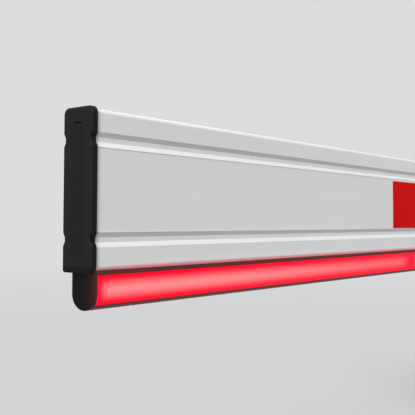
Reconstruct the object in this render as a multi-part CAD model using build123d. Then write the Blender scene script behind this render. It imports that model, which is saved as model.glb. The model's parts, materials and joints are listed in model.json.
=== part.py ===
from build123d import *
import math
import os

# Parking barrier gate: a floor-standing cabinet with a worm-geared drive, and an aluminium boom
# with a lit lower edge.
# Frame: origin at the centre of the anchor pattern on the ground face, +Z up, the boom lies along
# -X outside the -Y wall, and the service door is on the +Y side. Millimetres.

# ---------------------------------------------------------------- boom and its lit edge
boom_h = 100.0            # height of the boom profile
boom_t = 24.0             # thickness of the boom profile
boom_wall = 2.0
boom_corner = 2.9         # radius of the profile's long edges
groove_edge = 14.4        # from the profile's edge to the groove
groove_w = 9.2            # groove width at the face
groove_floor = 3.1        # flat floor of the groove
groove_depth = 1.6
panel_land = 0.4          # land between the groove and the recessed panel
panel_recess = 0.2        # depth of the panel that takes the reflective tape
web_t = 1.8
slot_mouth = 8.0          # T-slot in the profile's lower edge
slot_w = 14.0
slot_h = 3.6
slot_lip = 2.4
clear_width = 2500.0      # free roadway from the cabinet's side to the boom's tip
boom_tail = 190.0         # boom behind the shaft axis

cap_proud = 1.6           # how far the end cap stands out around the profile
cap_plate = 4.4           # visible length of the end cap along the boom
cap_round = 1.4
cap_rear_corner = 1.6     # radius of the cap's rear lower corner
cap_band_h = 4.0          # sloped band along the foot of the cap's end face
cap_band_deep = 0.9
plug_len = 26.0
plug_clear = 0.25
pry_slot_w = 7.5          # slot for a screwdriver, used to lever the cap off
pry_slot_h = 0.9
pry_slot_deep = 1.2
pry_slot_down = 8.5       # below the profile's upper edge

led_half_w = 10.5         # half width of the lit edge, which has a round underside
led_drop = 25.2           # how far it hangs below the profile
led_top = 2.9             # thickness of the carrier's top plate
led_keel = 3.6            # height of the carrier's keel
led_web = 5.0
lens_t = 1.8
lens_clear = 0.2
board_t = 1.6
board_in = 2.0            # from the light module's end to its boards
led_module = 468.0        # length of one light module
led_end_room = 20.0       # least room between the lit edge and the boom holder
led_cap_setback = 0.8     # from the profile's end to the light strip's end face
led_cap_t = 3.5
led_cap_round = 1.2
led_plug_len = 1.5        # how far the cap's tongues reach into the lenses
foot_clear = 0.25

tape_start = 418.0        # from the profile's end to the first red field
tape_len = 400.0
tape_pitch = 800.0
tape_t = 0.3
tape_inset = 1.0
tape_drop = 0.9           # the film sits this far below the panel's middle

# ---------------------------------------------------------------- boom holder and hub
holder_t = 5.0
holder_front = 190.0      # holder length on the roadway side of the shaft
holder_back = 110.0
holder_round = 10.0
holder_lip = 12.0         # depth of the lips above and below the boom
lip_t = 4.0
lip_in = 12.0             # lips end short of the holder's ends
holder_clear = 0.3
clamp_bolt_d = 10.0
clamp_bolt_out = 9.0      # bolt centre outside the lip
clamp_edge = 12.0         # plate edge outside the bolt centre
clamp_in = 25.0           # end bolts from the holder's ends
spacer_wall = 2.3
spacer_clear = 0.2        # radial, spacer tube on its bolt
bolt_clear = 0.5          # radial, bolts in their holes
hub_flange_d = 130.0
hub_flange_t = 14.0
hub_chamfer = 1.0
hub_boss_d = 64.0
hub_boss_len = 19.0
hub_screw_d = 8.0
hub_screw_pcd = 104.0
hub_screws_n = 6
hub_screw_short = 2.0     # hub screws end short of the flange's inner face
recess_d = 46.0
recess_depth = 8.0
washer_d = 44.0
washer_t = 4.0
end_bolt_d = 12.0
end_bolt_len = 30.0
end_bolt_clear = 9.6      # radial, hole in the holder for the end bolt's head
rosette_d = 104.0
rosette_t = 4.0
rosette_chamfer = 1.5
rosette_gap = 1.0
wall_hole_gap = 6.0       # radial, hub boss in the wall's hole
hub_air = 2.0             # between the rosette and the hub flange

# ---------------------------------------------------------------- drive, front to back
shaft_z = 860.0           # height of the shaft axis above the ground
shaft_d = 40.0
shaft_chamfer = 1.5
tail_d = 35.0
key_w = 10.0
key_h = 8.0
key_top_gap = 0.2
key_in = 2.0              # keys end short of the hub's bore
gear_key_in = 10.0        # and short of the gearbox's faces
run_clear = 0.05          # radial running clearance
sheet = 2.5               # cabinet sheet
frame_air = 12.5          # from the front wall to the drive frame
frame_t = 8.0
frame_w = 248.0
frame_chamfer = 30.0
frame_up = 100.0          # drive frame above the shaft axis
frame_down = 140.0
bearing_flange = 96.0
bearing_round = 16.0
bearing_flange_t = 10.0
bearing_len = 20.0
bearing_boss_d = 70.0
bearing_spigot_d = 52.0
bearing_spigot_h = 3.0
bearing_screw_d = 8.0
bearing_screw_at = 36.0
lever_gap = 3.0
lever_t = 12.0
lever_hub_d = 66.0
lever_r = 95.0            # reach of the stop lever
lever_w = 24.0
lever_waist = 50.0        # the lever's tapered sides end here
collar_air = 1.5          # from the stop brackets to the spring collar
collar_t = 12.0
collar_d = 64.0
spring_gap = 4.5
wire_d = 9.0
spring_r = 42.0           # mean radius of the balance spring
spring_pitch = 10.0
spring_turns = 5
leg_over = 10.0           # spring legs beyond the pins that they bear on
drive_pin_d = 12.0
drive_pin_x = 50.0
drive_pin_over = 2.0      # pin beyond the spring wire
tie_d = 16.0
tie_end_d = 10.0
tie_x = 110.0
gear_gap = 5.0
gear_len = 70.0
gear_pad = 4.0            # machined pad between the gearbox and the rear plate
gear_d = 128.0
gear_chamfer = 3.0
gear_centres = 60.0       # from the output axis to the worm axis
gear_ribs = 8
gear_rib_t = 5.0
gear_rib_h = 1.4          # ribs stand out of the cover's face
gear_rib_in = 34.0        # inner end of the ribs from the axis
gear_rib_out = 60.0
worm_case_d = 58.0
worm_case_h = 150.0
sleeve_d = 58.0
sleeve_front = 2.0        # sleeve in front of the gearbox
sleeve_short = 1.0        # sleeve ends short of the rear plate
gear_screw_d = 8.0
gear_screw_pcd = 112.0
gear_screw_in = 20.0
switch_sheet = 3.0
switch_screw_d = 5.0
switch_screw_x = 20.0
switch_screw_up = 10.0
switch_x = 17.0           # switches beside the shaft axis
switch_w = 20.0
switch_clear = 4.0        # from the cam's lobe to the switch body
plunger_len = 3.0
plunger_d = 4.0
switch_plate_w = 60.0
switch_plate_h = 22.0
cam_gap = 2.0
cam_t = 8.0
cam_r = 24.0
cam_lobe = 5.0
shaft_over = 3.0          # shaft beyond the cams
door_air = 3.0            # from the shaft's end to the door frame

motor_d = 72.0
motor_flange_d = 76.0
motor_flange_t = 10.0
motor_len = 130.0
motor_fins = 20
fin_depth = 4.0
fin_t = 2.2
fin_root = 1.0
fin_short = 4.0           # fins end short of the housing's ends
motor_bell = 26.0
bell_round = 8.0
motor_shaft_d = 12.0
wheel_d = 78.0
wheel_t = 14.0
wheel_round = 3.0
wheel_grips = 6
grip_r = 11.0
grip_out = 5.0            # centres of the finger grips outside the rim
wheel_hub_h = 4.0
wheel_gap = 8.0

buffer_d = 20.0
buffer_len = 16.0
buffer_round = 3.0
buffer_at = 75.0          # distance of the buffers from the shaft axis
buffer_clear = 0.3
buffer_plate_t = 3.0
stop_t = 8.0
stop_w = 38.0
stop_side = 1.0           # bracket beside the buffer
stop_gap = 5.0            # thread between the buffer's plate and the bracket
stop_foot_len = 26.0
stop_screw_d = 8.0
stop_screw_out = 13.0
stud_over = 12.0

# ---------------------------------------------------------------- cabinet
cab_w = 320.0
head_room = 40.0          # above the drive frame
wall_round = 10.0
base_t = 8.0
anchor_dx = 220.0
anchor_dy = 180.0
anchor_d = 14.0
cable_w = 120.0
cable_d = 80.0
cable_round = 12.0
flange_w = 20.0           # door frame's flange
sill = 56.0               # door opening above the ground
vent_w = 70.0
vent_h = 5.0
vent_pitch = 14.0
vents = 6
vent_down = 40.0          # first vent below the roof's skirt
roof_skirt = 25.0
roof_rise = 30.0
roof_gap = 1.0
roof_sheet = 2.0
roof_slope_in = 60.0
roof_screw_d = 6.0
roof_screw_in = 50.0
roof_screw_back = 4.0     # screws reach behind the wall
roof_screw_head = 2.5
door_t = 20.0
door_round = 2.5
door_sheet = 2.0
door_gap = 2.0
door_lip = 18.0
door_low = 42.0
door_under_roof = 5.0
seal_w = 10.0
seal_clear = 0.3
seal_out = 2.0            # seal outside the door opening's edge
hinge_h = 35.0            # height of one knuckle
hinge_r = 6.0
hinge_out = 7.0           # hinge axis outside the wall
hinge_leaf = 18.0
hinge_leaf_t = 3.0
hinge_pin_d = 6.0
hinge_pin_short = 2.0
hinge_in = 120.0          # hinges from the door's ends
knuckle_gap = 0.5
lock_in = 40.0
lock_body_d = 22.0
lock_core_d = 16.0
lock_flange_d = 30.0
lock_flange_t = 3.0
lock_nut_t = 6.0
lock_core_in = 0.5        # core's face inside the flange's
lock_cam_len = 34.0
lock_cam_w = 14.0
lock_cam_t = 3.0
lock_cam_rim = 2.0
lock_air = 1.0
key_slot_w = 10.0
key_slot_h = 1.6
key_slot_deep = 3.5
shelf_t = 3.0
shelf_reach = 42.0
shelf_drop = 60.0
rail_air = 5.0
rail_bolt_d = 10.0
rail_bolt_x_in = 15.0
rail_bolt_in = 28.0

# ---------------------------------------------------------------- control gear
plate_t = 3.0
plate_w = 260.0
plate_h = 340.0
plate_below_shelf = 100.0
plate_air = 6.0           # spacers behind the mounting plate
spacer_d = 12.0
spacer_in = 14.0
rail_w = 35.0
rail_h = 7.5
rail_sheet = 1.5
rail_hat_w = 27.0         # width of the rail's raised middle
rail_len = 230.0
rail_from_top = 50.0
device_in = 4.0           # first device from the rail's end
unit_w = 180.0
unit_h = 120.0
unit_t = 46.0
unit_up = 30.0
unit_round = 6.0
unit_chamfer = 2.0
supply_w = 78.0
supply_h = 100.0
supply_t = 62.0
supply_round = 2.0
breaker_w = 36.0
breaker_h = 86.0
breaker_t = 60.0
breaker_step = 16.0       # depth of the shoulders above and below the breaker's nose
clamp_w = 6.0
clamp_gap = 0.3
clamp_h = 44.0
clamp_t = 42.0
clamps_n = 12
device_gap = 6.0

past = 1.0                # how far a cut runs past a face

# ---------------------------------------------------------------- places along Y
stop_over = (buffer_d - lever_t) / 2 + stop_side
stack = [sheet, frame_air, frame_t, bearing_len, lever_gap, lever_t, stop_over + collar_air, collar_t,
         spring_gap, spring_turns * spring_pitch + wire_d, gear_gap, gear_len, gear_pad, frame_t,
         bearing_len, cam_gap, cam_t, shaft_over, door_air]
cab_d = sum(stack) + door_gap + door_t
y_front = -cab_d / 2
marks = [y_front]
for step in stack:
    marks.append(marks[-1] + step)
y_skin = marks[1]                       # inside of the front wall
y_plate1 = marks[2]
y_plate1_in = marks[3]
y_lever = marks[5]
y_lever_in = marks[6]
y_collar = marks[7]
y_collar_in = marks[8]
y_spring = marks[9]
y_gear = marks[11]
y_pad = marks[12]
y_plate2 = marks[13]
y_plate2_in = marks[14]
y_cam = marks[16]
y_cam_in = marks[17]
y_shaft_end = marks[18]
y_frame_back = marks[19]                # outer face of the door frame
y_door = y_frame_back + door_gap
y_door_out = y_door + door_t

y_rosette = y_front - rosette_t
y_flange_in = y_rosette - hub_air
y_flange_out = y_flange_in - hub_flange_t
y_boom_back = y_flange_out - holder_t
y_boom_face = y_boom_back - boom_t
y_clamp_out = y_boom_face - holder_t
boom_y = (y_boom_back + y_boom_face) / 2

cab_x = cab_w / 2
wall_x = cab_x - sheet
cab_top = shaft_z + frame_up + head_room
shelf_z = shaft_z - frame_down
tip_x = -(cab_x + clear_width)
boom_len = clear_width + cab_x + boom_tail
boom_low = shaft_z - boom_h / 2
boom_room = -holder_front - tip_x       # free boom in front of the holder
shaft_r = shaft_d / 2

os.makedirs("parts", exist_ok=True)


# ---------------------------------------------------------------- helpers
def block(x0, x1, y0, y1, z0, z1):
    middle = Pos((x0 + x1) / 2, (y0 + y1) / 2, (z0 + z1) / 2)
    return middle * Box(abs(x1 - x0), abs(y1 - y0), abs(z1 - z0))


def rod_x(x0, x1, y, z, r):
    return Pos((x0 + x1) / 2, y, z) * Rot(0, 90, 0) * Cylinder(r, abs(x1 - x0))


def rod_y(x, y0, y1, z, r):
    return Pos(x, (y0 + y1) / 2, z) * Rot(90, 0, 0) * Cylinder(r, abs(y1 - y0))


def rod_z(x, y, z0, z1, r):
    return Pos(x, y, (z0 + z1) / 2) * Cylinder(r, abs(z1 - z0))


def hexagon(across):
    return RegularPolygon(across / 2, 6, False)


def hex_x(x0, x1, y, z, across):
    """Hexagon head or nut with its axis along X."""
    face = Plane((min(x0, x1), y, z), x_dir=(0, 1, 0), z_dir=(1, 0, 0)) * hexagon(across)
    return extrude(face, abs(x1 - x0))


def hex_y(x, y0, y1, z, across):
    face = Plane((x, min(y0, y1), z), x_dir=(1, 0, 0), z_dir=(0, 1, 0)) * hexagon(across)
    return extrude(face, abs(y1 - y0))


def hex_z(x, y, z0, z1, across):
    return extrude(Plane((x, y, min(z0, z1))) * hexagon(across), abs(z1 - z0))


def head_h(d):
    """Head height of a hex screw of diameter d."""
    return 0.6 * d


def nut_h(d):
    return 0.8 * d


def across_flats(d):
    return 1.6 * d


def bolt_y(x, z, y_head, y_nut, d):
    """Hex bolt along Y: its head bears on y_head, its nut on y_nut."""
    way = 1 if y_nut > y_head else -1
    head = hex_y(x, y_head - way * head_h(d), y_head, z, across_flats(d))
    nut = hex_y(x, y_nut, y_nut + way * nut_h(d), z, across_flats(d))
    return head + nut + rod_y(x, y_head, y_nut + way * 1.1 * d, z, d / 2)


def bolt_z(x, y, z_head, z_nut, d):
    way = 1 if z_nut > z_head else -1
    head = hex_z(x, y, z_head - way * head_h(d), z_head, across_flats(d))
    nut = hex_z(x, y, z_nut, z_nut + way * nut_h(d), across_flats(d))
    return head + nut + rod_z(x, y, z_head, z_nut + way * 1.1 * d, d / 2)


def screw_y(x, z, y_head, y_end, d):
    """Hex screw along Y into a tapped hole: its head bears on y_head."""
    way = 1 if y_end > y_head else -1
    head = hex_y(x, y_head - way * head_h(d), y_head, z, across_flats(d))
    return head + rod_y(x, y_head, y_end, z, d / 2)


def section_x(sketch, x0, x1):
    """Extrude a section drawn with x as Y and y as Z, from x0 to x1."""
    return extrude(Plane((x0, 0, 0), x_dir=(0, 1, 0), z_dir=(1, 0, 0)) * sketch, x1 - x0)


def edges_at_x(solid, x):
    return solid.edges().filter_by(lambda edge: abs(edge.center().X - x) < 0.01)


def edges_at_y(solid, y):
    return solid.edges().filter_by(lambda edge: abs(edge.center().Y - y) < 0.01)


def corners(dx, dy):
    return [(sx * dx, sy * dy) for sx in (-1, 1) for sy in (-1, 1)]


def ring(pcd, count, first):
    """Places on a circle around the shaft axis, the first at an angle in degrees."""
    turns = [math.radians(first + 360 / count * k) for k in range(count)]
    return [(pcd / 2 * math.cos(turn), shaft_z + pcd / 2 * math.sin(turn)) for turn in turns]


def link(x, z, r0, r1, y0, y1):
    """Flat link from a boss of radius r0 on the shaft axis to one of radius r1 at x, z from it."""
    reach = math.hypot(x, z)
    lean = math.asin((r0 - r1) / reach)
    near = (r0 * math.sin(lean), r0 * math.cos(lean))
    far = (reach + r1 * math.sin(lean), r1 * math.cos(lean))
    sides = Polyline(near, far, (far[0], -far[1]), (near[0], -near[1]), close=True)
    outline = make_face(sides) + Circle(r0) + Pos(reach, 0) * Circle(r1)
    outline = Rot(0, 0, math.degrees(math.atan2(z, x))) * outline
    return extrude(Plane((0, y1, shaft_z), x_dir=(1, 0, 0), z_dir=(0, -1, 0)) * outline, y1 - y0)


def save(name, *shapes):
    """Write one node: a single solid as it is, several as a group."""
    solids = [solid for shape in shapes for solid in shape.solids()]
    export_step(solids[0] if len(solids) == 1 else Compound(children=solids), f"parts/{name}.step")


# ---------------------------------------------------------------- boom profile
panel_half = boom_h / 2 - groove_edge - groove_w - panel_land


def groove(side, z_mark, up):
    """Trapezoid groove in the face at side (-1 front, +1 back), from z_mark towards up."""
    face = side * boom_t / 2
    flank = (groove_w - groove_floor) / 2
    deep = side * (boom_t / 2 - groove_depth)
    out = side * (boom_t / 2 + groove_depth)
    return make_face(Polyline((deep, z_mark + up * flank),
                              (deep, z_mark + up * (groove_w - flank)),
                              (face, z_mark + up * groove_w),
                              (out, z_mark + up * (groove_w + flank)),
                              (out, z_mark - up * flank),
                              (face, z_mark), close=True))


def boom_outline():
    """Outer outline of the profile without the tape panel, centred on the boom."""
    outline = RectangleRounded(boom_t, boom_h, boom_corner)
    for side in (-1, 1):
        outline -= groove(side, -boom_h / 2 + groove_edge, 1)
        outline -= groove(side, boom_h / 2 - groove_edge, -1)
    return outline


def boom_chambers():
    """The profile's hollow chambers, between its walls and webs and above the T-slot."""
    inside = offset(boom_outline(), -boom_wall, kind=Kind.INTERSECTION)
    web_z = boom_h / 2 - groove_edge - groove_w / 2
    for z in (-web_z, web_z):
        inside -= Pos(0, z) * Rectangle(boom_t, web_t)
    slot_roof = -boom_h / 2 + slot_lip + slot_h + boom_wall
    return inside - Pos(0, slot_roof - boom_h / 2) * Rectangle(boom_t, boom_h)


def boom_section(chambers):
    section = boom_outline() - chambers
    section -= Pos(0, -boom_h / 2 + slot_lip + slot_h / 2) * Rectangle(slot_w, slot_h)
    section -= Pos(0, -boom_h / 2) * Rectangle(slot_mouth, 2 * slot_lip + past / 10)
    for side in (-1, 1):
        section -= Pos(side * boom_t / 2, 0) * Rectangle(2 * panel_recess, 2 * panel_half)
    return section


at_boom = Pos(boom_y, shaft_z)
chambers = boom_chambers()
save("boom_profile", section_x(at_boom * boom_section(chambers), tip_x, tip_x + boom_len))


# ---------------------------------------------------------------- end caps of the boom
def boom_cap(x_end, way, with_slot):
    """Push-in cap: plate around the profile and plugs in its chambers. way points out of the boom."""
    rim = offset(boom_outline(), cap_proud, kind=Kind.ARC)
    size = 2 * (boom_corner + cap_proud)
    corner = RectangleRounded(size, size, cap_rear_corner)
    rim += Pos((boom_t - size) / 2 + cap_proud, (size - boom_h) / 2 - cap_proud) * corner
    x_out = x_end + way * cap_plate
    x_in = x_end - way * plug_len
    cap = section_x(at_boom * rim, min(x_end, x_out), max(x_end, x_out))
    cap = fillet(edges_at_x(cap, x_out), cap_round)
    foot = boom_low - cap_proud
    band = Plane.XZ * make_face(Polyline((x_out, foot + cap_band_h),
                                         (x_out + way * past, foot + cap_band_h),
                                         (x_out + way * past, foot),
                                         (x_out - way * cap_band_deep, foot), close=True))
    cap -= extrude(band, boom_h - boom_y, both=True)
    for chamber in chambers.faces():
        plug = offset(chamber, -plug_clear, kind=Kind.INTERSECTION)
        hollow = offset(chamber, -plug_clear - boom_wall, kind=Kind.INTERSECTION)
        cap += section_x(at_boom * (plug - hollow), min(x_end, x_in), max(x_end, x_in))
    if with_slot:
        z = shaft_z + boom_h / 2 - pry_slot_down
        cap -= block(x_out, x_out - way * pry_slot_deep, boom_y - pry_slot_w / 2, boom_y + pry_slot_w / 2,
                     z - pry_slot_h / 2, z + pry_slot_h / 2)
    return cap


save("boom_tip_cap", boom_cap(tip_x, -1, True))
save("boom_root_cap", boom_cap(tip_x + boom_len, 1, True))


# ---------------------------------------------------------------- lit lower edge
def led_outline(half, drop):
    """U-shaped outline that hangs from z = 0, with a round underside."""
    return (Pos(0, -(drop - half) / 2) * Rectangle(2 * half, drop - half)
            + Pos(0, half - drop) * Circle(half))


led_modules = int((boom_room - led_cap_setback - 2 * led_cap_t - led_end_room) / led_module)
keel_top = led_keel - led_drop
led_x0 = tip_x + led_cap_setback
led_x1 = led_x0 + led_cap_t
led_x2 = led_x1 + led_module * led_modules
led_x3 = led_x2 + led_cap_t
at_led = Pos(boom_y, boom_low)
pocket_h = -led_top - keel_top
pocket_z = (keel_top - led_top) / 2

carrier = led_outline(led_half_w, led_drop)
for side in (-1, 1):
    carrier -= Pos(side * (led_web + led_half_w) / 2, pocket_z) * Rectangle(led_half_w, pocket_h)
carrier += Pos(0, slot_lip / 2) * Rectangle(slot_mouth - 2 * foot_clear, slot_lip + 2 * foot_clear)
foot_h = slot_h - 3 * foot_clear
carrier += Pos(0, slot_lip + foot_clear + foot_h / 2) * Rectangle(slot_w - 2 * foot_clear, foot_h)
save("led_carrier", section_x(at_led * carrier, led_x1, led_x2))

lens = led_outline(led_half_w, led_drop) - led_outline(led_half_w - lens_t, led_drop - lens_t)
lens &= Pos(0, pocket_z) * Rectangle(2 * led_half_w, pocket_h)
board = Rectangle(board_t, pocket_h - 2 * lens_clear)
lenses = []
boards = []
for i in range(led_modules):
    x0 = led_x1 + i * led_module
    lenses.append(section_x(at_led * lens, x0, x0 + led_module))
    for side in (-1, 1):
        strip = Pos(side * (led_web + board_t) / 2, pocket_z) * board
        boards.append(section_x(at_led * strip, x0 + board_in, x0 + led_module - board_in))
save("led_lenses", *lenses)
save("led_boards", *boards)


def led_cap(x_out, x_in):
    """End cap of the lit edge: outer face at x_out, seated on the strip at x_in, tongues in the lenses."""
    way = 1 if x_in > x_out else -1
    cap = section_x(at_led * led_outline(led_half_w, led_drop), min(x_out, x_in), max(x_out, x_in))
    rim = edges_at_x(cap, x_out).filter_by(lambda edge: edge.center().Z < boom_low - past / 10)
    cap = fillet(rim, led_cap_round)
    hollow = lens_t + lens_clear
    tongues = led_outline(led_half_w - hollow, led_drop - hollow)
    tongues &= Pos(0, pocket_z) * Rectangle(2 * led_half_w, pocket_h - 2 * lens_clear)
    tongues -= Pos(0, pocket_z) * Rectangle(led_web + 2 * lens_clear, pocket_h)
    x_tongue = x_in + way * led_plug_len
    return cap + section_x(at_led * tongues, min(x_in, x_tongue), max(x_in, x_tongue))


save("led_end_caps", led_cap(led_x0, led_x1), led_cap(led_x3, led_x2))

# ---------------------------------------------------------------- red reflective fields
tape_fields = int((boom_room - tape_start + tape_pitch - tape_len) / tape_pitch)
tape_half = panel_half - tape_inset
tape_z = shaft_z - tape_drop
tape_front = y_boom_face + panel_recess
tape_back = y_boom_back - panel_recess
tape = []
for i in range(tape_fields):
    x0 = tip_x + tape_start + i * tape_pitch
    for y0, y1 in ((tape_front - tape_t, tape_front), (tape_back, tape_back + tape_t)):
        tape.append(block(x0, x0 + tape_len, y0, y1, tape_z - tape_half, tape_z + tape_half))
save("red_reflective_tape", *tape)

# ---------------------------------------------------------------- boom holder, clamp and hub
lip_z = boom_h / 2 + holder_clear
bolt_row = lip_z + lip_t + clamp_bolt_out
plate_half = bolt_row + clamp_edge
clamp_xs = [-holder_front + clamp_in, -hub_flange_d / 2 - 2 * clamp_bolt_d, holder_back - clamp_in]
clamp_at = [(x, shaft_z + s * bolt_row) for x in clamp_xs for s in (-1, 1)]
hub_ring = ring(hub_screw_pcd, hub_screws_n, 30)
y_boss_end = y_flange_in + hub_boss_len
y_recess = y_flange_out + recess_depth
clamp_hole_r = clamp_bolt_d / 2 + bolt_clear


def holder_plate(y0, y1):
    """Plate with round corners and the clamp bolts' holes."""
    plate = block(-holder_front, holder_back, y0, y1, shaft_z - plate_half, shaft_z + plate_half)
    plate = fillet(plate.edges().filter_by(Axis.Y), holder_round)
    for x, z in clamp_at:
        plate -= rod_y(x, y0 - past, y1 + past, z, clamp_hole_r)
    return plate


def countersink(x, z):
    """Cone of a countersunk screw whose head is flush with the holder's boom side."""
    cone = Cone(hub_screw_d / 2, hub_screw_d, hub_screw_d / 2)
    return Pos(x, y_boom_back + hub_screw_d / 4, z) * Rot(90, 0, 0) * cone


holder = holder_plate(y_boom_back, y_flange_out)
for s in (-1, 1):
    z0 = shaft_z + s * lip_z
    holder += block(-holder_front + lip_in, holder_back - lip_in, y_boom_back - holder_lip, y_boom_back,
                    z0, z0 + s * lip_t)
holder -= rod_y(0, y_boom_back - past, y_flange_out + past, shaft_z, end_bolt_d / 2 + end_bolt_clear)
for x, z in hub_ring:
    holder -= rod_y(x, y_boom_back - past, y_flange_out + past, z, hub_screw_d / 2)
    holder -= countersink(x, z)
save("boom_holder", holder)
save("boom_clamp_plate", holder_plate(y_clamp_out, y_boom_face))
save("clamp_bolts", *[bolt_y(x, z, y_clamp_out, y_flange_out, clamp_bolt_d) for x, z in clamp_at])

spacer_in_r = clamp_bolt_d / 2 + spacer_clear
save("clamp_spacers", *[rod_y(x, y_boom_face, y_boom_back, z, spacer_in_r + spacer_wall)
                        - rod_y(x, y_boom_face, y_boom_back, z, spacer_in_r) for x, z in clamp_at])


def key_cut(y0, y1, grow):
    """Parallel key in the top of the shaft, or its keyway when it grows upwards."""
    return block(-key_w / 2, key_w / 2, y0, y1,
                 shaft_z + shaft_r - key_h / 2, shaft_z + shaft_r + key_h / 2 + grow)


hub = rod_y(0, y_flange_out, y_flange_in, shaft_z, hub_flange_d / 2)
hub = chamfer(hub.edges(), hub_chamfer)
hub += rod_y(0, y_flange_in, y_boss_end, shaft_z, hub_boss_d / 2)
hub -= rod_y(0, y_flange_out - past, y_boss_end + past, shaft_z, shaft_r)
hub -= rod_y(0, y_flange_out - past, y_recess, shaft_z, recess_d / 2)
hub -= key_cut(y_recess, y_boss_end, key_top_gap)
for x, z in hub_ring:
    hub -= rod_y(x, y_flange_out - past, y_flange_in + past, z, hub_screw_d / 2)
save("boom_hub", hub)



def hub_screw(x, z):
    """Countersunk screw from the holder into the hub's flange."""
    y_neck = y_boom_back + hub_screw_d / 4
    return countersink(x, z) + rod_y(x, y_neck, y_flange_in - hub_screw_short, z, hub_screw_d / 2)


save("hub_screws", *[hub_screw(x, z) for x, z in hub_ring])

washer = rod_y(0, y_recess - washer_t, y_recess, shaft_z, washer_d / 2)
washer -= rod_y(0, y_recess - washer_t, y_recess, shaft_z, end_bolt_d / 2)
end_bolt = screw_y(0, shaft_z, y_recess - washer_t, y_recess + end_bolt_len, end_bolt_d)
save("hub_end_bolt", washer, end_bolt)

# ---------------------------------------------------------------- main shaft and keys
shaft = rod_y(0, y_recess, y_plate2, shaft_z, shaft_r)
shaft += rod_y(0, y_plate2, y_shaft_end, shaft_z, tail_d / 2)
shaft -= rod_y(0, y_recess - past, y_recess + end_bolt_len, shaft_z, end_bolt_d / 2)
key_spans = [(y_recess + key_in, y_boss_end - key_in),
             (y_lever, y_collar_in),
             (y_gear + gear_key_in, y_pad - gear_key_in)]
for y0, y1 in key_spans:
    shaft -= key_cut(y0, y1, 0)
shaft = chamfer(edges_at_y(shaft, y_shaft_end), shaft_chamfer)
save("main_shaft", shaft)
save("shaft_keys", *[key_cut(y0, y1, 0) for y0, y1 in key_spans])


# ---------------------------------------------------------------- bearings
def bearing(y_seat, bore_r):
    """Four-bolt flange bearing seated on a frame plate at y_seat, standing out towards +Y."""
    y_face = y_seat + bearing_flange_t
    y_spigot = y_seat - bearing_spigot_h
    y_end = y_seat + bearing_len
    half = bearing_flange / 2
    body = block(-half, half, y_seat, y_face, shaft_z - half, shaft_z + half)
    body = fillet(body.edges().filter_by(Axis.Y), bearing_round)
    body += rod_y(0, y_face, y_end, shaft_z, bearing_boss_d / 2)
    body += rod_y(0, y_spigot, y_seat, shaft_z, bearing_spigot_d / 2)
    body -= rod_y(0, y_spigot - past, y_end + past, shaft_z, bore_r + run_clear)
    for dx, dz in corners(bearing_screw_at, bearing_screw_at):
        body -= rod_y(dx, y_seat - past, y_face + past, shaft_z + dz, bearing_screw_d / 2)
    return body


save("front_bearing", bearing(y_plate1_in, shaft_r))
save("rear_bearing", bearing(y_plate2_in, tail_d / 2))
bearing_screws = [(dx, shaft_z + dz) for dx, dz in corners(bearing_screw_at, bearing_screw_at)]
drive_screws = []
for x, z in bearing_screws:
    for y_seat, y_far in ((y_plate1_in, y_plate1), (y_plate2_in, y_plate2)):
        drive_screws.append(screw_y(x, z, y_seat + bearing_flange_t, y_far, bearing_screw_d))

# ---------------------------------------------------------------- drive frame
frame_x = frame_w / 2
rail_x = wall_x - rail_air
frame_top = shaft_z + frame_up
pin_drop = spring_r - wire_d / 2 - buffer_clear           # the spring legs' underside above the shaft
drive_pin_up = pin_drop - drive_pin_d / 2
tie_z = shaft_z + pin_drop - tie_d / 2
ties = [(-tie_x, tie_z), (tie_x, tie_z), (-tie_x / 2, frame_top - tie_d)]
rail_bolts = [(sx * (rail_x - rail_bolt_x_in), y) for sx in (-1, 1)
              for y in (y_plate1 + rail_bolt_in, y_plate2_in - rail_bolt_in)]
buffer_x = lever_w / 2 + buffer_clear
stop_foot = buffer_x + buffer_len + buffer_plate_t + stop_gap     # inner face of the stop bracket
stop_screw_u = stop_foot + stop_t + stop_screw_out
stop_screws = [(stop_screw_u, buffer_at - stop_w / 4), (stop_screw_u, buffer_at + stop_w / 4)]
stop_holes = [(u, -v) for u, v in stop_screws] + [(-v, u) for u, v in stop_screws]
gear_ring = ring(gear_screw_pcd, 4, 0)
switch_foot = gear_screw_pcd / 2 + 1.2 * gear_screw_d
switch_screws = [(x, shaft_z + switch_foot + switch_screw_up) for x in (-switch_screw_x, switch_screw_x)]


def frame_plate(y0, y1, holes):
    plate = block(-frame_x, frame_x, y0, y1, shelf_z, frame_top)
    plate = chamfer(plate.edges().filter_by(Axis.Y).group_by(Axis.Z)[-1], frame_chamfer)
    plate -= rod_y(0, y0 - past, y1 + past, shaft_z, bearing_spigot_d / 2)
    for x, z, d in holes:
        plate -= rod_y(x, y0 - past, y1 + past, z, d / 2)
    return plate


shared_holes = [(x, z, bearing_screw_d) for x, z in bearing_screws]
shared_holes += [(x, z, tie_end_d) for x, z in ties]
front_holes = shared_holes + [(u, shaft_z + v, stop_screw_d) for u, v in stop_holes]
rear_holes = shared_holes + [(x, z, gear_screw_d) for x, z in gear_ring]
rear_holes += [(x, z, switch_screw_d) for x, z in switch_screws]
frame = frame_plate(y_plate1, y_plate1_in, front_holes) + frame_plate(y_plate2, y_plate2_in, rear_holes)
for s in (-1, 1):
    frame += block(s * (frame_x - frame_t), s * rail_x, y_plate1, y_plate2_in, shelf_z, shelf_z + frame_t)
for x, y in rail_bolts:
    frame -= rod_z(x, y, shelf_z - past, shelf_z + frame_t + past, rail_bolt_d / 2 + bolt_clear)
save("drive_frame", frame)
save("rail_bolts", *[bolt_z(x, y, shelf_z + frame_t, shelf_z - shelf_t, rail_bolt_d)
                     for x, y in rail_bolts])


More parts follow.
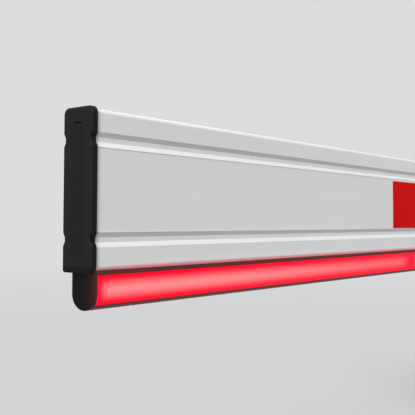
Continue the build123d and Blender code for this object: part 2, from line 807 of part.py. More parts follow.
def tie_bar(x, z):
    """Spacer bar between the frame plates, with a stud and a nut at each end."""
    nut = nut_h(tie_end_d)
    bar = rod_y(x, y_plate1_in, y_plate2, z, tie_d / 2)
    bar += rod_y(x, y_plate1 - nut - past, y_plate2_in + nut + past, z, tie_end_d / 2)
    bar += hex_y(x, y_plate1 - nut, y_plate1, z, across_flats(tie_end_d))
    return bar + hex_y(x, y_plate2_in, y_plate2_in + nut, z, across_flats(tie_end_d))


save("tie_bars", *[tie_bar(x, z) for x, z in ties])

# ---------------------------------------------------------------- stop lever, buffers and brackets
y_lever_mid = (y_lever + y_lever_in) / 2
lever_end = lever_r - lever_w / 2
lever = link(0, -lever_waist, lever_hub_d / 2, lever_w / 2, y_lever, y_lever_in)
lever += block(-lever_w / 2, lever_w / 2, y_lever, y_lever_in, shaft_z - lever_end, shaft_z - lever_waist)
lever += rod_y(0, y_lever, y_lever_in, shaft_z - lever_end, lever_w / 2)
lever -= rod_y(0, y_lever - past, y_lever_in + past, shaft_z, shaft_r)
lever -= key_cut(y_lever - past, y_lever_in + past, key_top_gap)
save("stop_lever", lever)

swap = Plane(origin=(0, 0, shaft_z), z_dir=(1, 0, -1))     # mirrors the closed stop into the open one
buffer_z = shaft_z - buffer_at


def stop_bracket():
    z0 = buffer_z - stop_w / 2
    z1 = buffer_z + stop_w / 2
    y_foot = y_plate1_in + stop_t
    bracket = block(stop_foot, stop_foot + stop_t, y_plate1_in, y_lever_in + stop_over, z0, z1)
    bracket += block(stop_foot, stop_foot + stop_t + stop_foot_len, y_plate1_in, y_foot, z0, z1)
    for u, v in stop_screws:
        bracket -= rod_y(u, y_plate1_in - past, y_foot + past, shaft_z - v, stop_screw_d / 2)
    bracket -= rod_x(stop_foot - past, stop_foot + stop_t + past, y_lever_mid, buffer_z, stop_screw_d / 2)
    return bracket


def stop_buffer():
    rubber = rod_x(buffer_x, buffer_x + buffer_len, y_lever_mid, buffer_z, buffer_d / 2)
    return fillet(rubber.edges().group_by(Axis.X)[0], buffer_round)


def stop_stud():
    """Buffer's plate with its adjusting stud and lock nut."""
    x1 = buffer_x + buffer_len
    x2 = stop_foot + stop_t
    stud = rod_x(x1, x1 + buffer_plate_t, y_lever_mid, buffer_z, buffer_d / 2)
    stud += rod_x(x1 + buffer_plate_t, x2 + stud_over, y_lever_mid, buffer_z, stop_screw_d / 2)
    return stud + hex_x(x2, x2 + nut_h(stop_screw_d), y_lever_mid, buffer_z, across_flats(stop_screw_d))


def both_stops(solid):
    return [solid, mirror(solid, swap)]


save("stop_brackets", *both_stops(stop_bracket()))
save("stop_buffers", *both_stops(stop_buffer()))
save("stop_studs", *both_stops(stop_stud()))
for u, v in stop_screws:
    drive_screws += both_stops(screw_y(u, shaft_z - v, y_plate1_in + stop_t, y_plate1, stop_screw_d))

# ---------------------------------------------------------------- balance spring and its collar
y_pin_end = y_collar_in + spring_gap + wire_d + drive_pin_over
collar = link(drive_pin_x, drive_pin_up, collar_d / 2, drive_pin_d, y_collar, y_collar_in)
collar -= rod_y(0, y_collar - past, y_collar_in + past, shaft_z, shaft_r)
collar -= key_cut(y_collar - past, y_collar_in + past, key_top_gap)
collar += rod_y(drive_pin_x, y_collar_in, y_pin_end, shaft_z + drive_pin_up, drive_pin_d / 2)
save("spring_collar", collar)

coil_len = spring_turns * spring_pitch
helix = Helix(spring_pitch, coil_len, spring_r, lefthand=True)
rear_end = Plane(helix @ 0, z_dir=helix % 0) * Circle(wire_d / 2)
front_end = Plane(helix @ 1, z_dir=helix % 1) * Circle(wire_d / 2)
spring = sweep(rear_end, helix, is_frenet=True)
spring += extrude(rear_end, -tie_x - leg_over)
spring += extrude(front_end, drive_pin_x + leg_over)
at_spring = Pos(0, y_spring + wire_d / 2 + coil_len, shaft_z) * Rot(90, 0, 90)
save("balance_spring", at_spring * spring)

# ---------------------------------------------------------------- gearbox
gear_y = (y_gear + y_pad) / 2
worm_x = gear_centres
worm_low = shaft_z - worm_case_h / 2
worm_high = shaft_z + worm_case_h / 2
rib_mid = (gear_rib_in + gear_rib_out) / 2
case = rod_y(0, y_gear, y_pad, shaft_z, gear_d / 2)
case = chamfer(case.edges(), gear_chamfer)
case += rod_z(worm_x, gear_y, worm_low, worm_high, worm_case_d / 2)
case += rod_y(0, y_pad, y_plate2, shaft_z, gear_screw_pcd / 2 + gear_screw_d)
for k in range(gear_ribs):
    turn = Rot(0, 360 / gear_ribs * (k + 0.5), 0)
    rib = Pos(rib_mid, 0, 0) * Box(gear_rib_out - gear_rib_in, 2 * gear_rib_h, gear_rib_t)
    case += Pos(0, y_gear, shaft_z) * turn * rib
case -= rod_y(0, y_gear - gear_gap, y_plate2 + past, shaft_z, sleeve_d / 2 + run_clear)
for x, z in gear_ring:
    case -= rod_y(x, y_plate2 - gear_screw_in, y_plate2 + past, z, gear_screw_d / 2)
save("gearbox_housing", case)
drive_screws += [screw_y(x, z, y_plate2_in, y_plate2 - gear_screw_in, gear_screw_d) for x, z in gear_ring]

y_sleeve = y_gear - sleeve_front
y_sleeve_in = y_plate2 - sleeve_short
sleeve = rod_y(0, y_sleeve, y_sleeve_in, shaft_z, sleeve_d / 2)
sleeve -= rod_y(0, y_sleeve - past, y_sleeve_in + past, shaft_z, shaft_r)
sleeve -= key_cut(y_sleeve - past, y_sleeve_in + past, key_top_gap)
save("gearbox_output_sleeve", sleeve)

# ---------------------------------------------------------------- motor and hand wheel
motor_top = worm_low - motor_flange_t
motor_low = motor_top - motor_len
bell_low = motor_low - motor_bell
wheel_top = bell_low - wheel_gap
wheel_low = wheel_top - wheel_t
wheel_mid = (wheel_top + wheel_low) / 2
at_motor = Pos(worm_x, gear_y, 0)

motor = Pos(0, 0, (motor_low + motor_top) / 2) * Cylinder(motor_d / 2 - fin_depth, motor_len)
fin = block(motor_d / 2 - fin_depth - fin_root, motor_d / 2, -fin_t / 2, fin_t / 2,
            motor_low + fin_short, motor_top - fin_short)
for k in range(motor_fins):
    motor += Rot(0, 0, 360 / motor_fins * (k + 0.5)) * fin
save("motor_housing", at_motor * motor)

flange = rod_z(worm_x, gear_y, motor_top, worm_low, motor_flange_d / 2)
save("motor_flange", chamfer(flange.edges(), hub_chamfer))

bell = rod_z(worm_x, gear_y, bell_low, motor_low, motor_d / 2)
bell = fillet(bell.edges().group_by(Axis.Z)[0], bell_round)
bell -= rod_z(worm_x, gear_y, bell_low - past, motor_low + past, motor_shaft_d / 2 + run_clear)
save("motor_end_bell", bell)
save("motor_shaft", rod_z(worm_x, gear_y, wheel_low, motor_low, motor_shaft_d / 2))

wheel = Pos(0, 0, wheel_mid) * Cylinder(wheel_d / 2, wheel_t)
wheel = fillet(wheel.edges(), wheel_round)
for k in range(wheel_grips):
    grip = Pos(wheel_d / 2 + grip_out, 0, wheel_mid) * Cylinder(grip_r, wheel_t + past)
    wheel -= Rot(0, 0, 360 / wheel_grips * k) * grip
wheel += Pos(0, 0, wheel_top + wheel_hub_h / 2) * Cylinder(motor_shaft_d, wheel_hub_h)
wheel -= Pos(0, 0, wheel_mid) * Cylinder(motor_shaft_d / 2, 2 * (wheel_t + wheel_hub_h))
save("hand_wheel", at_motor * wheel)

# ---------------------------------------------------------------- limit cam and switches
cam = rod_y(0, y_cam, y_cam_in, shaft_z, cam_r)
lobe = rod_y(0, y_cam, y_cam_in, shaft_z, cam_r + cam_lobe)
cam += lobe & block(0, 2 * cam_r, y_cam, y_cam_in, shaft_z, shaft_z + 2 * cam_r)
cam -= rod_y(0, y_cam - past, y_cam_in + past, shaft_z, tail_d / 2)
save("limit_cam", cam)

switch_z0 = shaft_z + cam_r + cam_lobe + switch_clear
switch_z1 = shaft_z + switch_foot
y_cam_mid = (y_cam + y_cam_in) / 2


def limit_switch(x):
    body = block(x - switch_w / 2, x + switch_w / 2, y_cam, y_cam_in, switch_z0, switch_z1)
    return body + rod_z(x, y_cam_mid, switch_z0 - plunger_len, switch_z0, plunger_d / 2)


save("limit_switches", limit_switch(-switch_x), limit_switch(switch_x))

switch_half = switch_plate_w / 2
y_switch_plate = y_plate2_in + switch_sheet
angle = block(-switch_half, switch_half, y_plate2_in, y_switch_plate, switch_z1, switch_z1 + switch_plate_h)
angle += block(-switch_half, switch_half, y_plate2_in, y_cam_in, switch_z1, switch_z1 + switch_sheet)
for x, z in switch_screws:
    angle -= rod_y(x, y_plate2_in - past, y_switch_plate + past, z, switch_screw_d / 2)
save("switch_bracket", angle)
drive_screws += [screw_y(x, z, y_switch_plate, y_plate2, switch_screw_d) for x, z in switch_screws]
save("drive_screws", *drive_screws)

# ---------------------------------------------------------------- base plate and cabinet shell
base = block(-cab_x, cab_x, y_front, -y_front, 0, base_t)
base = fillet(base.edges().filter_by(Axis.Z), wall_round)
for dx, dy in corners(anchor_dx / 2, anchor_dy / 2):
    base -= rod_z(dx, dy, -past, base_t + past, anchor_d / 2)
entry = Box(cable_w, cable_d, 4 * base_t)
base -= fillet(entry.edges().filter_by(Axis.Z), cable_round)
save("base_plate", base)

roof_low = cab_top - roof_skirt
door_high = roof_low - door_under_roof
opening_x = wall_x - flange_w
opening_high = door_high - flange_w
roof_screw_z = roof_low + roof_skirt / 2
roof_screw_at = [(s, y) for s in (-1, 1) for y in (y_front + roof_screw_in, y_frame_back - roof_screw_in)]

outer = block(-cab_x, cab_x, y_front, y_frame_back, base_t, cab_top)
outer = fillet(outer.edges().filter_by(Axis.Z).group_by(Axis.Y)[0], wall_round)
inner = block(-wall_x, wall_x, y_skin, y_frame_back - sheet, base_t - past, cab_top + past)
inner = fillet(inner.edges().filter_by(Axis.Z).group_by(Axis.Y)[0], wall_round - sheet)
shell = outer - inner
shell -= block(-opening_x, opening_x, y_frame_back - 2 * sheet, y_frame_back + past, sill, opening_high)
shell -= rod_y(0, y_front - past, y_skin + past, shaft_z, hub_boss_d / 2 + wall_hole_gap)
vent_y = (y_front + y_frame_back) / 2
for i in range(vents):
    z = roof_low - vent_down - i * vent_pitch
    for s in (-1, 1):
        shell -= block(s * (wall_x - past), s * (cab_x + past), vent_y - vent_w / 2, vent_y + vent_w / 2,
                       z - vent_h / 2, z + vent_h / 2)
for s, y in roof_screw_at:
    shell -= rod_x(s * (wall_x - past), s * (cab_x + past), y, roof_screw_z, roof_screw_d / 2)
save("cabinet_shell", shell)

rosette = rod_y(0, y_rosette, y_front, shaft_z, rosette_d / 2)
rosette = chamfer(rosette.edges().group_by(Axis.Y)[0], rosette_chamfer)
rosette -= rod_y(0, y_rosette - past, y_front + past, shaft_z, hub_boss_d / 2 + rosette_gap)
save("shaft_rosette", rosette)

# ---------------------------------------------------------------- roof
roof_x_in = cab_x + roof_gap
roof_x_out = roof_x_in + roof_sheet
roof_y_in = -y_front + roof_gap
roof_y_out = roof_y_in + roof_sheet


def hip(half_x, half_y, z0, top_x, top_y, z1):
    """Hipped form between two rectangles."""
    low = Plane((0, 0, z0)) * Rectangle(2 * half_x, 2 * half_y)
    high = Plane((0, 0, z1)) * Rectangle(2 * top_x, 2 * top_y)
    return loft([low.face(), high.face()])


ridge_x = roof_x_out - roof_slope_in
ridge_y = roof_y_out - roof_slope_in
roof = block(-roof_x_out, roof_x_out, -roof_y_out, roof_y_out, roof_low, cab_top + roof_sheet)
roof = fillet(roof.edges().filter_by(Axis.Z), wall_round)
roof += hip(roof_x_out - wall_round, roof_y_out - wall_round, cab_top + roof_sheet,
            ridge_x, ridge_y, cab_top + roof_rise)
skirt = block(-roof_x_in, roof_x_in, -roof_y_in, roof_y_in, roof_low - past, cab_top)
roof -= fillet(skirt.edges().filter_by(Axis.Z), wall_round - roof_sheet)
roof -= hip(wall_x - wall_round, -y_skin - wall_round, cab_top - past / 100,
            ridge_x - roof_sheet, ridge_y - roof_sheet, cab_top + roof_rise - roof_sheet)
for s, y in roof_screw_at:
    roof -= rod_x(s * (roof_x_in - past), s * (roof_x_out + past), y, roof_screw_z, roof_screw_d / 2)
save("cabinet_roof", roof)


def roof_screw(s, y):
    body = rod_x(s * (wall_x - roof_screw_back), s * roof_x_out, y, roof_screw_z, roof_screw_d / 2)
    return body + rod_x(s * roof_x_out, s * (roof_x_out + roof_screw_head), y, roof_screw_z, roof_screw_d)


save("roof_screws", *[roof_screw(s, y) for s, y in roof_screw_at])

# ---------------------------------------------------------------- door and seal
lock_x = -cab_x + lock_in
lock_z = (door_low + door_high) / 2
door = block(-cab_x, cab_x, y_door, y_door_out, door_low, door_high)
door = fillet(door.edges().group_by(Axis.Y)[-1], door_round)
door -= block(-cab_x + door_sheet, cab_x - door_sheet, y_door + door_sheet, y_door_out - door_sheet,
              door_low + door_sheet, door_high - door_sheet)
door -= block(-cab_x + door_lip, cab_x - door_lip, y_door - past, y_door + 2 * door_sheet,
              door_low + door_lip, door_high - door_lip)
door -= rod_y(lock_x, y_door, y_door_out + past, lock_z, lock_body_d / 2)
save("cabinet_door", door)

seal_y = y_door - seal_clear
seal_x = cab_x - door_lip / 2 + seal_w / 2
seal_low = sill - seal_out
seal_high = opening_high + seal_out
seal = block(-seal_x, seal_x, y_frame_back, seal_y, seal_low - seal_w, seal_high + seal_w)
seal -= block(-seal_x + seal_w, seal_x - seal_w, y_frame_back - past, seal_y + past, seal_low, seal_high)
save("door_seal", seal)

# ---------------------------------------------------------------- hinges
hinge_x = cab_x + hinge_out
hinge_y = (y_frame_back + y_door) / 2
hinge_zs = (door_low + hinge_in, door_high - hinge_in)


def hinge_leaf_at(z, way, edge, clear):
    """Leaf, neck and knuckle on one side of the hinge's middle. way is -1 on the frame, +1 on the door."""
    z0 = z + way * knuckle_gap / 2
    z1 = z + way * hinge_h
    leaf = block(cab_x, cab_x + hinge_leaf_t, edge, edge + way * hinge_leaf, z0, z1)
    neck = block(cab_x, hinge_x, edge, edge + way * hinge_leaf_t, z0, z1)
    knuckle = rod_z(hinge_x, hinge_y, z0, z1, hinge_r)
    return leaf + neck + knuckle - rod_z(hinge_x, hinge_y, z0 - way, z1 + way, hinge_pin_d / 2 + clear)


save("hinge_frame_leaves", *[hinge_leaf_at(z, -1, y_frame_back, 0) for z in hinge_zs])
save("hinge_door_leaves", *[hinge_leaf_at(z, 1, y_door, run_clear) for z in hinge_zs])
save("hinge_pins", *[rod_z(hinge_x, hinge_y, z - hinge_h, z + hinge_h - hinge_pin_short, hinge_pin_d / 2)
                     for z in hinge_zs])

# ---------------------------------------------------------------- lock
y_lock_cam = y_frame_back - sheet - lock_air
y_lock_face = y_door_out + lock_flange_t
y_lock_nut = y_door_out - door_sheet
housing = rod_y(lock_x, y_lock_cam + lock_air, y_door_out, lock_z, lock_body_d / 2)
housing += rod_y(lock_x, y_door_out, y_lock_face, lock_z, lock_flange_d / 2)
housing += hex_y(lock_x, y_lock_nut - lock_nut_t, y_lock_nut, lock_z, lock_flange_d)
housing -= rod_y(lock_x, y_lock_cam, y_lock_face + past, lock_z, lock_core_d / 2 + run_clear)
save("lock_housing", housing)

y_core = y_lock_face - lock_core_in
core = rod_y(lock_x, y_lock_cam, y_core, lock_z, lock_core_d / 2)
core -= block(lock_x - key_slot_w / 2, lock_x + key_slot_w / 2, y_core - key_slot_deep, y_core + past,
              lock_z - key_slot_h / 2, lock_z + key_slot_h / 2)
save("lock_core", core)

tongue = rod_y(lock_x, y_lock_cam - lock_cam_t, y_lock_cam, lock_z, lock_cam_w / 2 + lock_cam_rim)
tongue += block(lock_x - lock_cam_w / 2, lock_x + lock_cam_w / 2, y_lock_cam - lock_cam_t, y_lock_cam,
                lock_z - lock_cam_len, lock_z)
save("lock_cam", tongue)


# ---------------------------------------------------------------- shelf brackets
def shelf_bracket(s):
    """Angle with two gussets, on the wall at side s, that the drive frame stands on."""
    wall = s * wall_x
    edge = s * (wall_x - shelf_reach)
    bracket = block(s * (wall_x - shelf_t), wall, y_plate1, y_plate2_in, shelf_z - shelf_drop, shelf_z)
    bracket += block(edge, wall, y_plate1, y_plate2_in, shelf_z - shelf_t, shelf_z)
    gusset = make_face(Polyline((wall, shelf_z), (edge, shelf_z), (wall, shelf_z - shelf_drop), close=True))
    for y in (y_plate1, y_plate2_in - shelf_t):
        bracket += extrude(Plane((0, y, 0), x_dir=(1, 0, 0), z_dir=(0, -1, 0)) * gusset, -shelf_t)
    for x, y in rail_bolts:
        if x * s > 0:
            bracket -= rod_z(x, y, shelf_z - shelf_t - past, shelf_z + past, rail_bolt_d / 2 + bolt_clear)
    return bracket


save("shelf_brackets", shelf_bracket(-1), shelf_bracket(1))

# ---------------------------------------------------------------- mounting plate and rail
plate_high = shelf_z - plate_below_shelf
plate_low = plate_high - plate_h
plate_z = (plate_high + plate_low) / 2
y_plate = y_skin + plate_air
y_mount = y_plate + plate_t
spots = [(dx, plate_z + dz) for dx, dz in corners(plate_w / 2 - spacer_in, plate_h / 2 - spacer_in)]
save("mounting_plate", block(-plate_w / 2, plate_w / 2, y_plate, y_mount, plate_low, plate_high))
save("plate_spacers", *[rod_y(x, y_skin, y_plate, z, spacer_d / 2) for x, z in spots])

rail_z = plate_high - rail_from_top
rail_half = rail_len / 2
hat = rail_hat_w / 2
y_rail = y_mount + rail_h
rail = block(-rail_half, rail_half, y_mount, y_rail, rail_z - hat, rail_z + hat)
rail -= block(-rail_half - past, rail_half + past, y_mount + rail_sheet, y_rail + past,
              rail_z - hat + rail_sheet, rail_z + hat - rail_sheet)
for s in (-1, 1):
    rail += block(-rail_half, rail_half, y_rail - rail_sheet, y_rail,
                  rail_z + s * (hat - rail_sheet), rail_z + s * rail_w / 2)
save("din_rail", rail)

# ---------------------------------------------------------------- devices on the rail and the plate
x_supply = -rail_half + device_in
x_breaker = x_supply + supply_w + device_gap
x_clamps = x_breaker + breaker_w + device_gap


def device(x, width, depth, height):
    return block(x, x + width, y_rail, y_rail + depth, rail_z - height / 2, rail_z + height / 2)


supply = device(x_supply, supply_w, supply_t, supply_h)
save("power_supply", fillet(supply.edges().group_by(Axis.Y)[-1], supply_round))
save("circuit_breaker", device(x_breaker, breaker_w, breaker_t - breaker_step, breaker_h)
     + device(x_breaker, breaker_w, breaker_t, breaker_h / 2))
save("terminal_clamps", *[device(x_clamps + k * clamp_w, clamp_w - clamp_gap, clamp_t, clamp_h)
                          for k in range(clamps_n)])

unit_z = plate_low + unit_up
unit = block(-unit_w / 2, unit_w / 2, y_mount, y_mount + unit_t, unit_z, unit_z + unit_h)
unit = fillet(unit.edges().filter_by(Axis.Y), unit_round)
save("control_unit", chamfer(unit.edges().group_by(Axis.Y)[-1], unit_chamfer))
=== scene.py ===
import json
import math

import bmesh
import bpy
from mathutils import Matrix, Vector


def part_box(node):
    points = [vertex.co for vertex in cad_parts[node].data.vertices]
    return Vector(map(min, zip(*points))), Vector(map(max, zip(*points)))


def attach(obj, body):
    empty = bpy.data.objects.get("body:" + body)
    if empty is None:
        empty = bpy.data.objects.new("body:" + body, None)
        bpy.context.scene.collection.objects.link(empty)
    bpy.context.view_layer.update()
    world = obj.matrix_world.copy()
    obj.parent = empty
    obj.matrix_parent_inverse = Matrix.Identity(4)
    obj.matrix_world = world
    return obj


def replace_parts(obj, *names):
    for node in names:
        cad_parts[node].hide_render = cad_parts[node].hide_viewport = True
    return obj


# Finishes, small fittings, light and camera for the parking barrier gate.
# The gate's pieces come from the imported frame, and everything stands in that frame, in metres.
# The small fittings are drawn in millimetres and scaled as they are made.

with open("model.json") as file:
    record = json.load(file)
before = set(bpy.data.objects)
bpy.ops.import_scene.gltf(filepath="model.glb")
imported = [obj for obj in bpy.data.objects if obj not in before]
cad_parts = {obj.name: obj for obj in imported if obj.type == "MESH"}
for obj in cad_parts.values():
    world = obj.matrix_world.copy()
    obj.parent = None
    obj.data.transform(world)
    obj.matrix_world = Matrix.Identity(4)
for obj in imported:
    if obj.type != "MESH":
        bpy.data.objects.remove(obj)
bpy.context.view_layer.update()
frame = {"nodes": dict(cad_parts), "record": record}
nodes = frame["nodes"]
MM = 0.001


# ---------------------------------------------------------------- colours and node helpers
def colour(code):
    """sRGB hex to linear RGBA."""
    channels = [int(code[i:i + 2], 16) / 255 for i in (1, 3, 5)]
    return [c / 12.92 if c <= 0.04045 else ((c + 0.055) / 1.055) ** 2.4 for c in channels] + [1.0]


def add(tree, kind, settings=None, links=None, **values):
    """Adds a node: settings are its properties, links its inputs' sources, values its other sockets."""
    node = tree.nodes.new(kind)
    for key, value in (settings or {}).items():
        setattr(node, key, value)
    for key, value in values.items():
        node.inputs[key.replace("_", " ")].default_value = value
    for key, source in (links or {}).items():
        tree.links.new(source, node.inputs[key])
    return node


def blank_tree(owner):
    """Empty node tree of a material or a world."""
    owner.use_nodes = True
    owner.node_tree.nodes.clear()
    return owner.node_tree


def finish_tree(tree, kind, surface):
    """Ends a node tree in its output node."""
    tree.links.new(surface, add(tree, kind).inputs["Surface"])


def new_material(name, **values):
    """Material with one Principled shader; values are its sockets, with underscores for spaces."""
    material = bpy.data.materials.new(name)
    tree = blank_tree(material)
    shader = add(tree, "ShaderNodeBsdfPrincipled", None, None, **values)
    finish_tree(tree, "ShaderNodeOutputMaterial", shader.outputs["BSDF"])
    return material, tree, shader


def object_place(tree, stretch=(1, 1, 1)):
    """Place on the piece in metres, stretched along the axes; it rides with the piece."""
    place = add(tree, "ShaderNodeTexCoord").outputs["Object"]
    return add(tree, "ShaderNodeMapping", None, {"Vector": place}, Scale=stretch).outputs["Vector"]


def axes(tree):
    """The place on the piece along X, Y and Z."""
    place = add(tree, "ShaderNodeTexCoord").outputs["Object"]
    return add(tree, "ShaderNodeSeparateXYZ", None, {0: place}).outputs


def noise(tree, place, size_mm, detail=2.0):
    """Noise whose grains are about size_mm across."""
    return add(tree, "ShaderNodeTexNoise", None, {"Vector": place},
               Scale=1 / (size_mm * MM), Detail=detail, Roughness=0.5).outputs["Fac"]


def spread(tree, source, low, high, to_low, to_high, curve="LINEAR"):
    """Maps a value from low..high to to_low..to_high."""
    return add(tree, "ShaderNodeMapRange", {"interpolation_type": curve}, {"Value": source},
               From_Min=low, From_Max=high, To_Min=to_low, To_Max=to_high).outputs["Result"]


def ramp(tree, source, start, end, from_value=0.0, to_value=1.0):
    """Smooth step from one value to another as the source goes from start to end, up or down."""
    if start > end:
        start, end, from_value, to_value = end, start, to_value, from_value
    return spread(tree, source, start, end, from_value, to_value, "SMOOTHSTEP")


def blend_colours(tree, factor, first, second):
    """Mixes two colours, each a hex colour or a socket, by a factor socket."""
    mix = add(tree, "ShaderNodeMix", {"data_type": "RGBA"}, {0: factor})
    for key, source in (("A", first), ("B", second)):
        if isinstance(source, str):
            mix.inputs[key].default_value = colour(source)
        else:
            tree.links.new(source, mix.inputs[key])
    return mix.outputs["Result"]


def maths(tree, operation, first, second=None):
    """Maths on sockets or plain numbers."""
    node = add(tree, "ShaderNodeMath", {"operation": operation})
    for i, value in enumerate((first, second)):
        if isinstance(value, (int, float)):
            node.inputs[i].default_value = value
        elif value is not None:
            tree.links.new(value, node.inputs[i])
    return node.outputs[0]


def length_of(tree, vector):
    """Length of a vector socket."""
    return add(tree, "ShaderNodeVectorMath", {"operation": "LENGTH"}, {0: vector}).outputs["Value"]


def from_ends(tree, value, low, high):
    """Distance to the nearer of two ends."""
    return maths(tree, "MINIMUM",
                 maths(tree, "SUBTRACT", value, low), maths(tree, "SUBTRACT", high, value))


def from_middle(tree, value, low, high):
    """Distance to the middle between two ends."""
    return maths(tree, "ABSOLUTE", maths(tree, "SUBTRACT", value, (low + high) / 2))


def glow(tree, shader, factor, code, strength):
    """Faint self-light of a hex colour, scaled by a factor socket."""
    shader.inputs["Emission Color"].default_value = colour(code)
    tree.links.new(maths(tree, "MULTIPLY", factor, strength), shader.inputs["Emission Strength"])


def bump(tree, shader, height, depth_mm, strength, edge_mm=0.0):
    """Drives the shader's normal from a height socket; depth_mm is the real relief, and edge_mm the
    rounding that folding, casting or coating leaves on edges."""
    node = add(tree, "ShaderNodeBump", None, {"Height": height},
               Strength=strength, Distance=depth_mm * MM)
    if edge_mm:
        samples = 6
        edge = add(tree, "ShaderNodeBevel", {"samples": samples}, None, Radius=edge_mm * MM)
        tree.links.new(edge.outputs["Normal"], node.inputs["Normal"])
    tree.links.new(node.outputs["Normal"], shader.inputs["Normal"])


def summed(tree, first, second):
    """Two noises added, as a value of 0 to 1; most of their sums lie between 0.7 and 1.3."""
    return spread(tree, maths(tree, "ADD", first, second), 0.7, 1.3, 0, 1)


def roughen(tree, shader, texture, smoothest, roughest):
    """Lets the roughness follow a noise, most of whose values lie between 0.3 and 0.7."""
    rough = spread(tree, texture, 0.3, 0.7, smoothest, roughest)
    tree.links.new(rough, shader.inputs["Roughness"])


def paint(tree, shader, base):
    """Gives the shader its base colour."""
    tree.links.new(base, shader.inputs["Base Color"])


# ---------------------------------------------------------------- materials
LENSES_LOW, LENSES_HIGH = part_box("led_lenses")
LIGHT_MODULE = 0.468      # length of one light module, in metres


def anodised_aluminium_extruded():
    """Boom profile: extruded, satin etched and clear anodised. Fine die lines run along it, a painted
    shadow darkens it beside the end caps, and its lower edge carries a painted red reflection and glow
    of the lit strip under it."""
    die_line, cloud_size = 0.9, 60
    cap_shade_reach = 5 * MM                              # from the caps
    rim_from, rim_full = 3.4 * MM, 0.6 * MM          # above the lower edge, which takes the strip's painted red reflection, painted shade and painted glow
    glow_blush_from, glow_blush_full = 8 * MM, 2 * MM          # the paler painted red glow over that
    rim_share = 0.88                                 # of the painted red glow, the rest being the wider glow's
    past_strip = 30 * MM                             # the painted red fades past the strip's inner end,
    first_lit, tip_share = 34 * MM, 0.3              # and is weaker at its tip
    material, tree, shader = new_material("anodised_aluminium_extruded", Metallic=0.25, Roughness=0.42)
    lines = noise(tree, object_place(tree, (0.004, 1, 1)), die_line, detail=3.0)
    cloud = noise(tree, object_place(tree, (0.2, 1, 1)), cloud_size)
    even_tone = blend_colours(tree, summed(tree, lines, cloud), "#CCCCCC", "#D0D0D0")
    low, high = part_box("boom_profile")
    place = axes(tree)
    # painted shadow: the face is painted darker towards each end cap, where the caps' proud rims would
    # shade it
    painted_cap_shade = ramp(tree, from_ends(tree, place["X"], low.x, high.x), cap_shade_reach, 0)
    cap_shaded = blend_colours(tree, painted_cap_shade, even_tone, "#868686")
    beside = maths(tree, "MULTIPLY", ramp(tree, place["X"], LENSES_HIGH.x + past_strip, LENSES_HIGH.x),
                   ramp(tree, place["X"], LENSES_LOW.x, LENSES_LOW.x + first_lit, tip_share, 1.0))
    above = maths(tree, "SUBTRACT", place["Z"], low.z)
    # painted red reflection and shade: beside the strip the lower edge is painted a darker reddish
    # grey, and both masks drive a painted pink glow
    rim = maths(tree, "MULTIPLY", ramp(tree, above, rim_from, rim_full), beside)
    painted_glow_blush = maths(tree, "MULTIPLY", ramp(tree, above, glow_blush_from, glow_blush_full), beside)
    light = maths(tree, "ADD", maths(tree, "MULTIPLY", rim, rim_share),
                  maths(tree, "MULTIPLY", painted_glow_blush, 1 - rim_share))
    paint(tree, shader, blend_colours(tree, rim, cap_shaded, "#7A6A6B"))
    roughen(tree, shader, lines, 0.38, 0.46)
    glow(tree, shader, light, "#FF8C90", 0.5)
    bump(tree, shader, lines, depth_mm=0.01, strength=0.4)
    return material


def grained_skin(name, grain_mm, rough, gloss=0.2):
    """Matt skin whose fine grain keeps the gloss low, as moulding, printing or an oxide layer does."""
    material, tree, shader = new_material(name, Roughness=rough, Specular_IOR_Level=gloss)
    grain = noise(tree, object_place(tree), grain_mm, detail=3.0)
    roughen(tree, shader, grain, rough - 0.06, rough + 0.08)
    bump(tree, shader, grain, depth_mm=0.03, strength=0.5)
    return material, tree, shader


def clouded(tree, shader, first, second):
    """Base colour that drifts between two close tones."""
    cloud_size = 25
    cloud = noise(tree, object_place(tree), cloud_size)
    paint(tree, shader, blend_colours(tree, cloud, first, second))


def matt_skin(name, first, second, grain_mm=0.5, rough=0.5):
    """Grained skin in one colour: moulded polyamide off a spark-eroded tool, unless its entry says
    otherwise."""
    material, tree, shader = grained_skin(name, grain_mm, rough)
    clouded(tree, shader, first, second)
    return material


def boom_cap_plastic(node):
    """Moulded black polyamide of a boom cap, with a fine grain all over. The end face is painted a
    little paler than the sides and the down-leaning band at its foot: painted light on the face,
    painted shade on the sides and band. A slightly darker strip down the middle of the face is painted
    shade of a shallow recess."""
    recess_shade_edge, recess_shade_full = 8 * MM, 5 * MM            # from the cap's middle
    recess_shade_start, recess_shade_whole = 9 * MM, 12 * MM         # from the cap's upper and lower ends
    band_lean, face_lean = -0.22, -0.04              # how far the band and the end face lean down
    material, tree, shader = grained_skin("black_polyamide_" + node, grain_mm=0.5, rough=0.62,
                                          gloss=0.12)
    facing = add(tree, "ShaderNodeTexCoord").outputs["Normal"]
    facing = add(tree, "ShaderNodeSeparateXYZ", None, {0: facing}).outputs
    # painted light and shade: faces turned along X and not leaning down get the paler face colour, the
    # sides and the foot band the darker one
    painted_lit_face = maths(tree, "MULTIPLY", ramp(tree, maths(tree, "ABSOLUTE", facing["X"]), 0.5, 1.0),
                   ramp(tree, facing["Z"], band_lean, face_lean))
    low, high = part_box(node)
    place = axes(tree)
    # painted shade of a shallow recess: a darker strip down the middle of the end face
    painted_recess_shade = maths(tree, "MULTIPLY",
                 ramp(tree, from_middle(tree, place["Y"], low.y, high.y), recess_shade_edge, recess_shade_full),
                 ramp(tree, from_ends(tree, place["Z"], low.z, high.z), recess_shade_start, recess_shade_whole))
    face = blend_colours(tree, painted_recess_shade, "#1B1B1C", "#171718")
    paint(tree, shader, blend_colours(tree, painted_lit_face, "#0D0D0E", face))
    return material


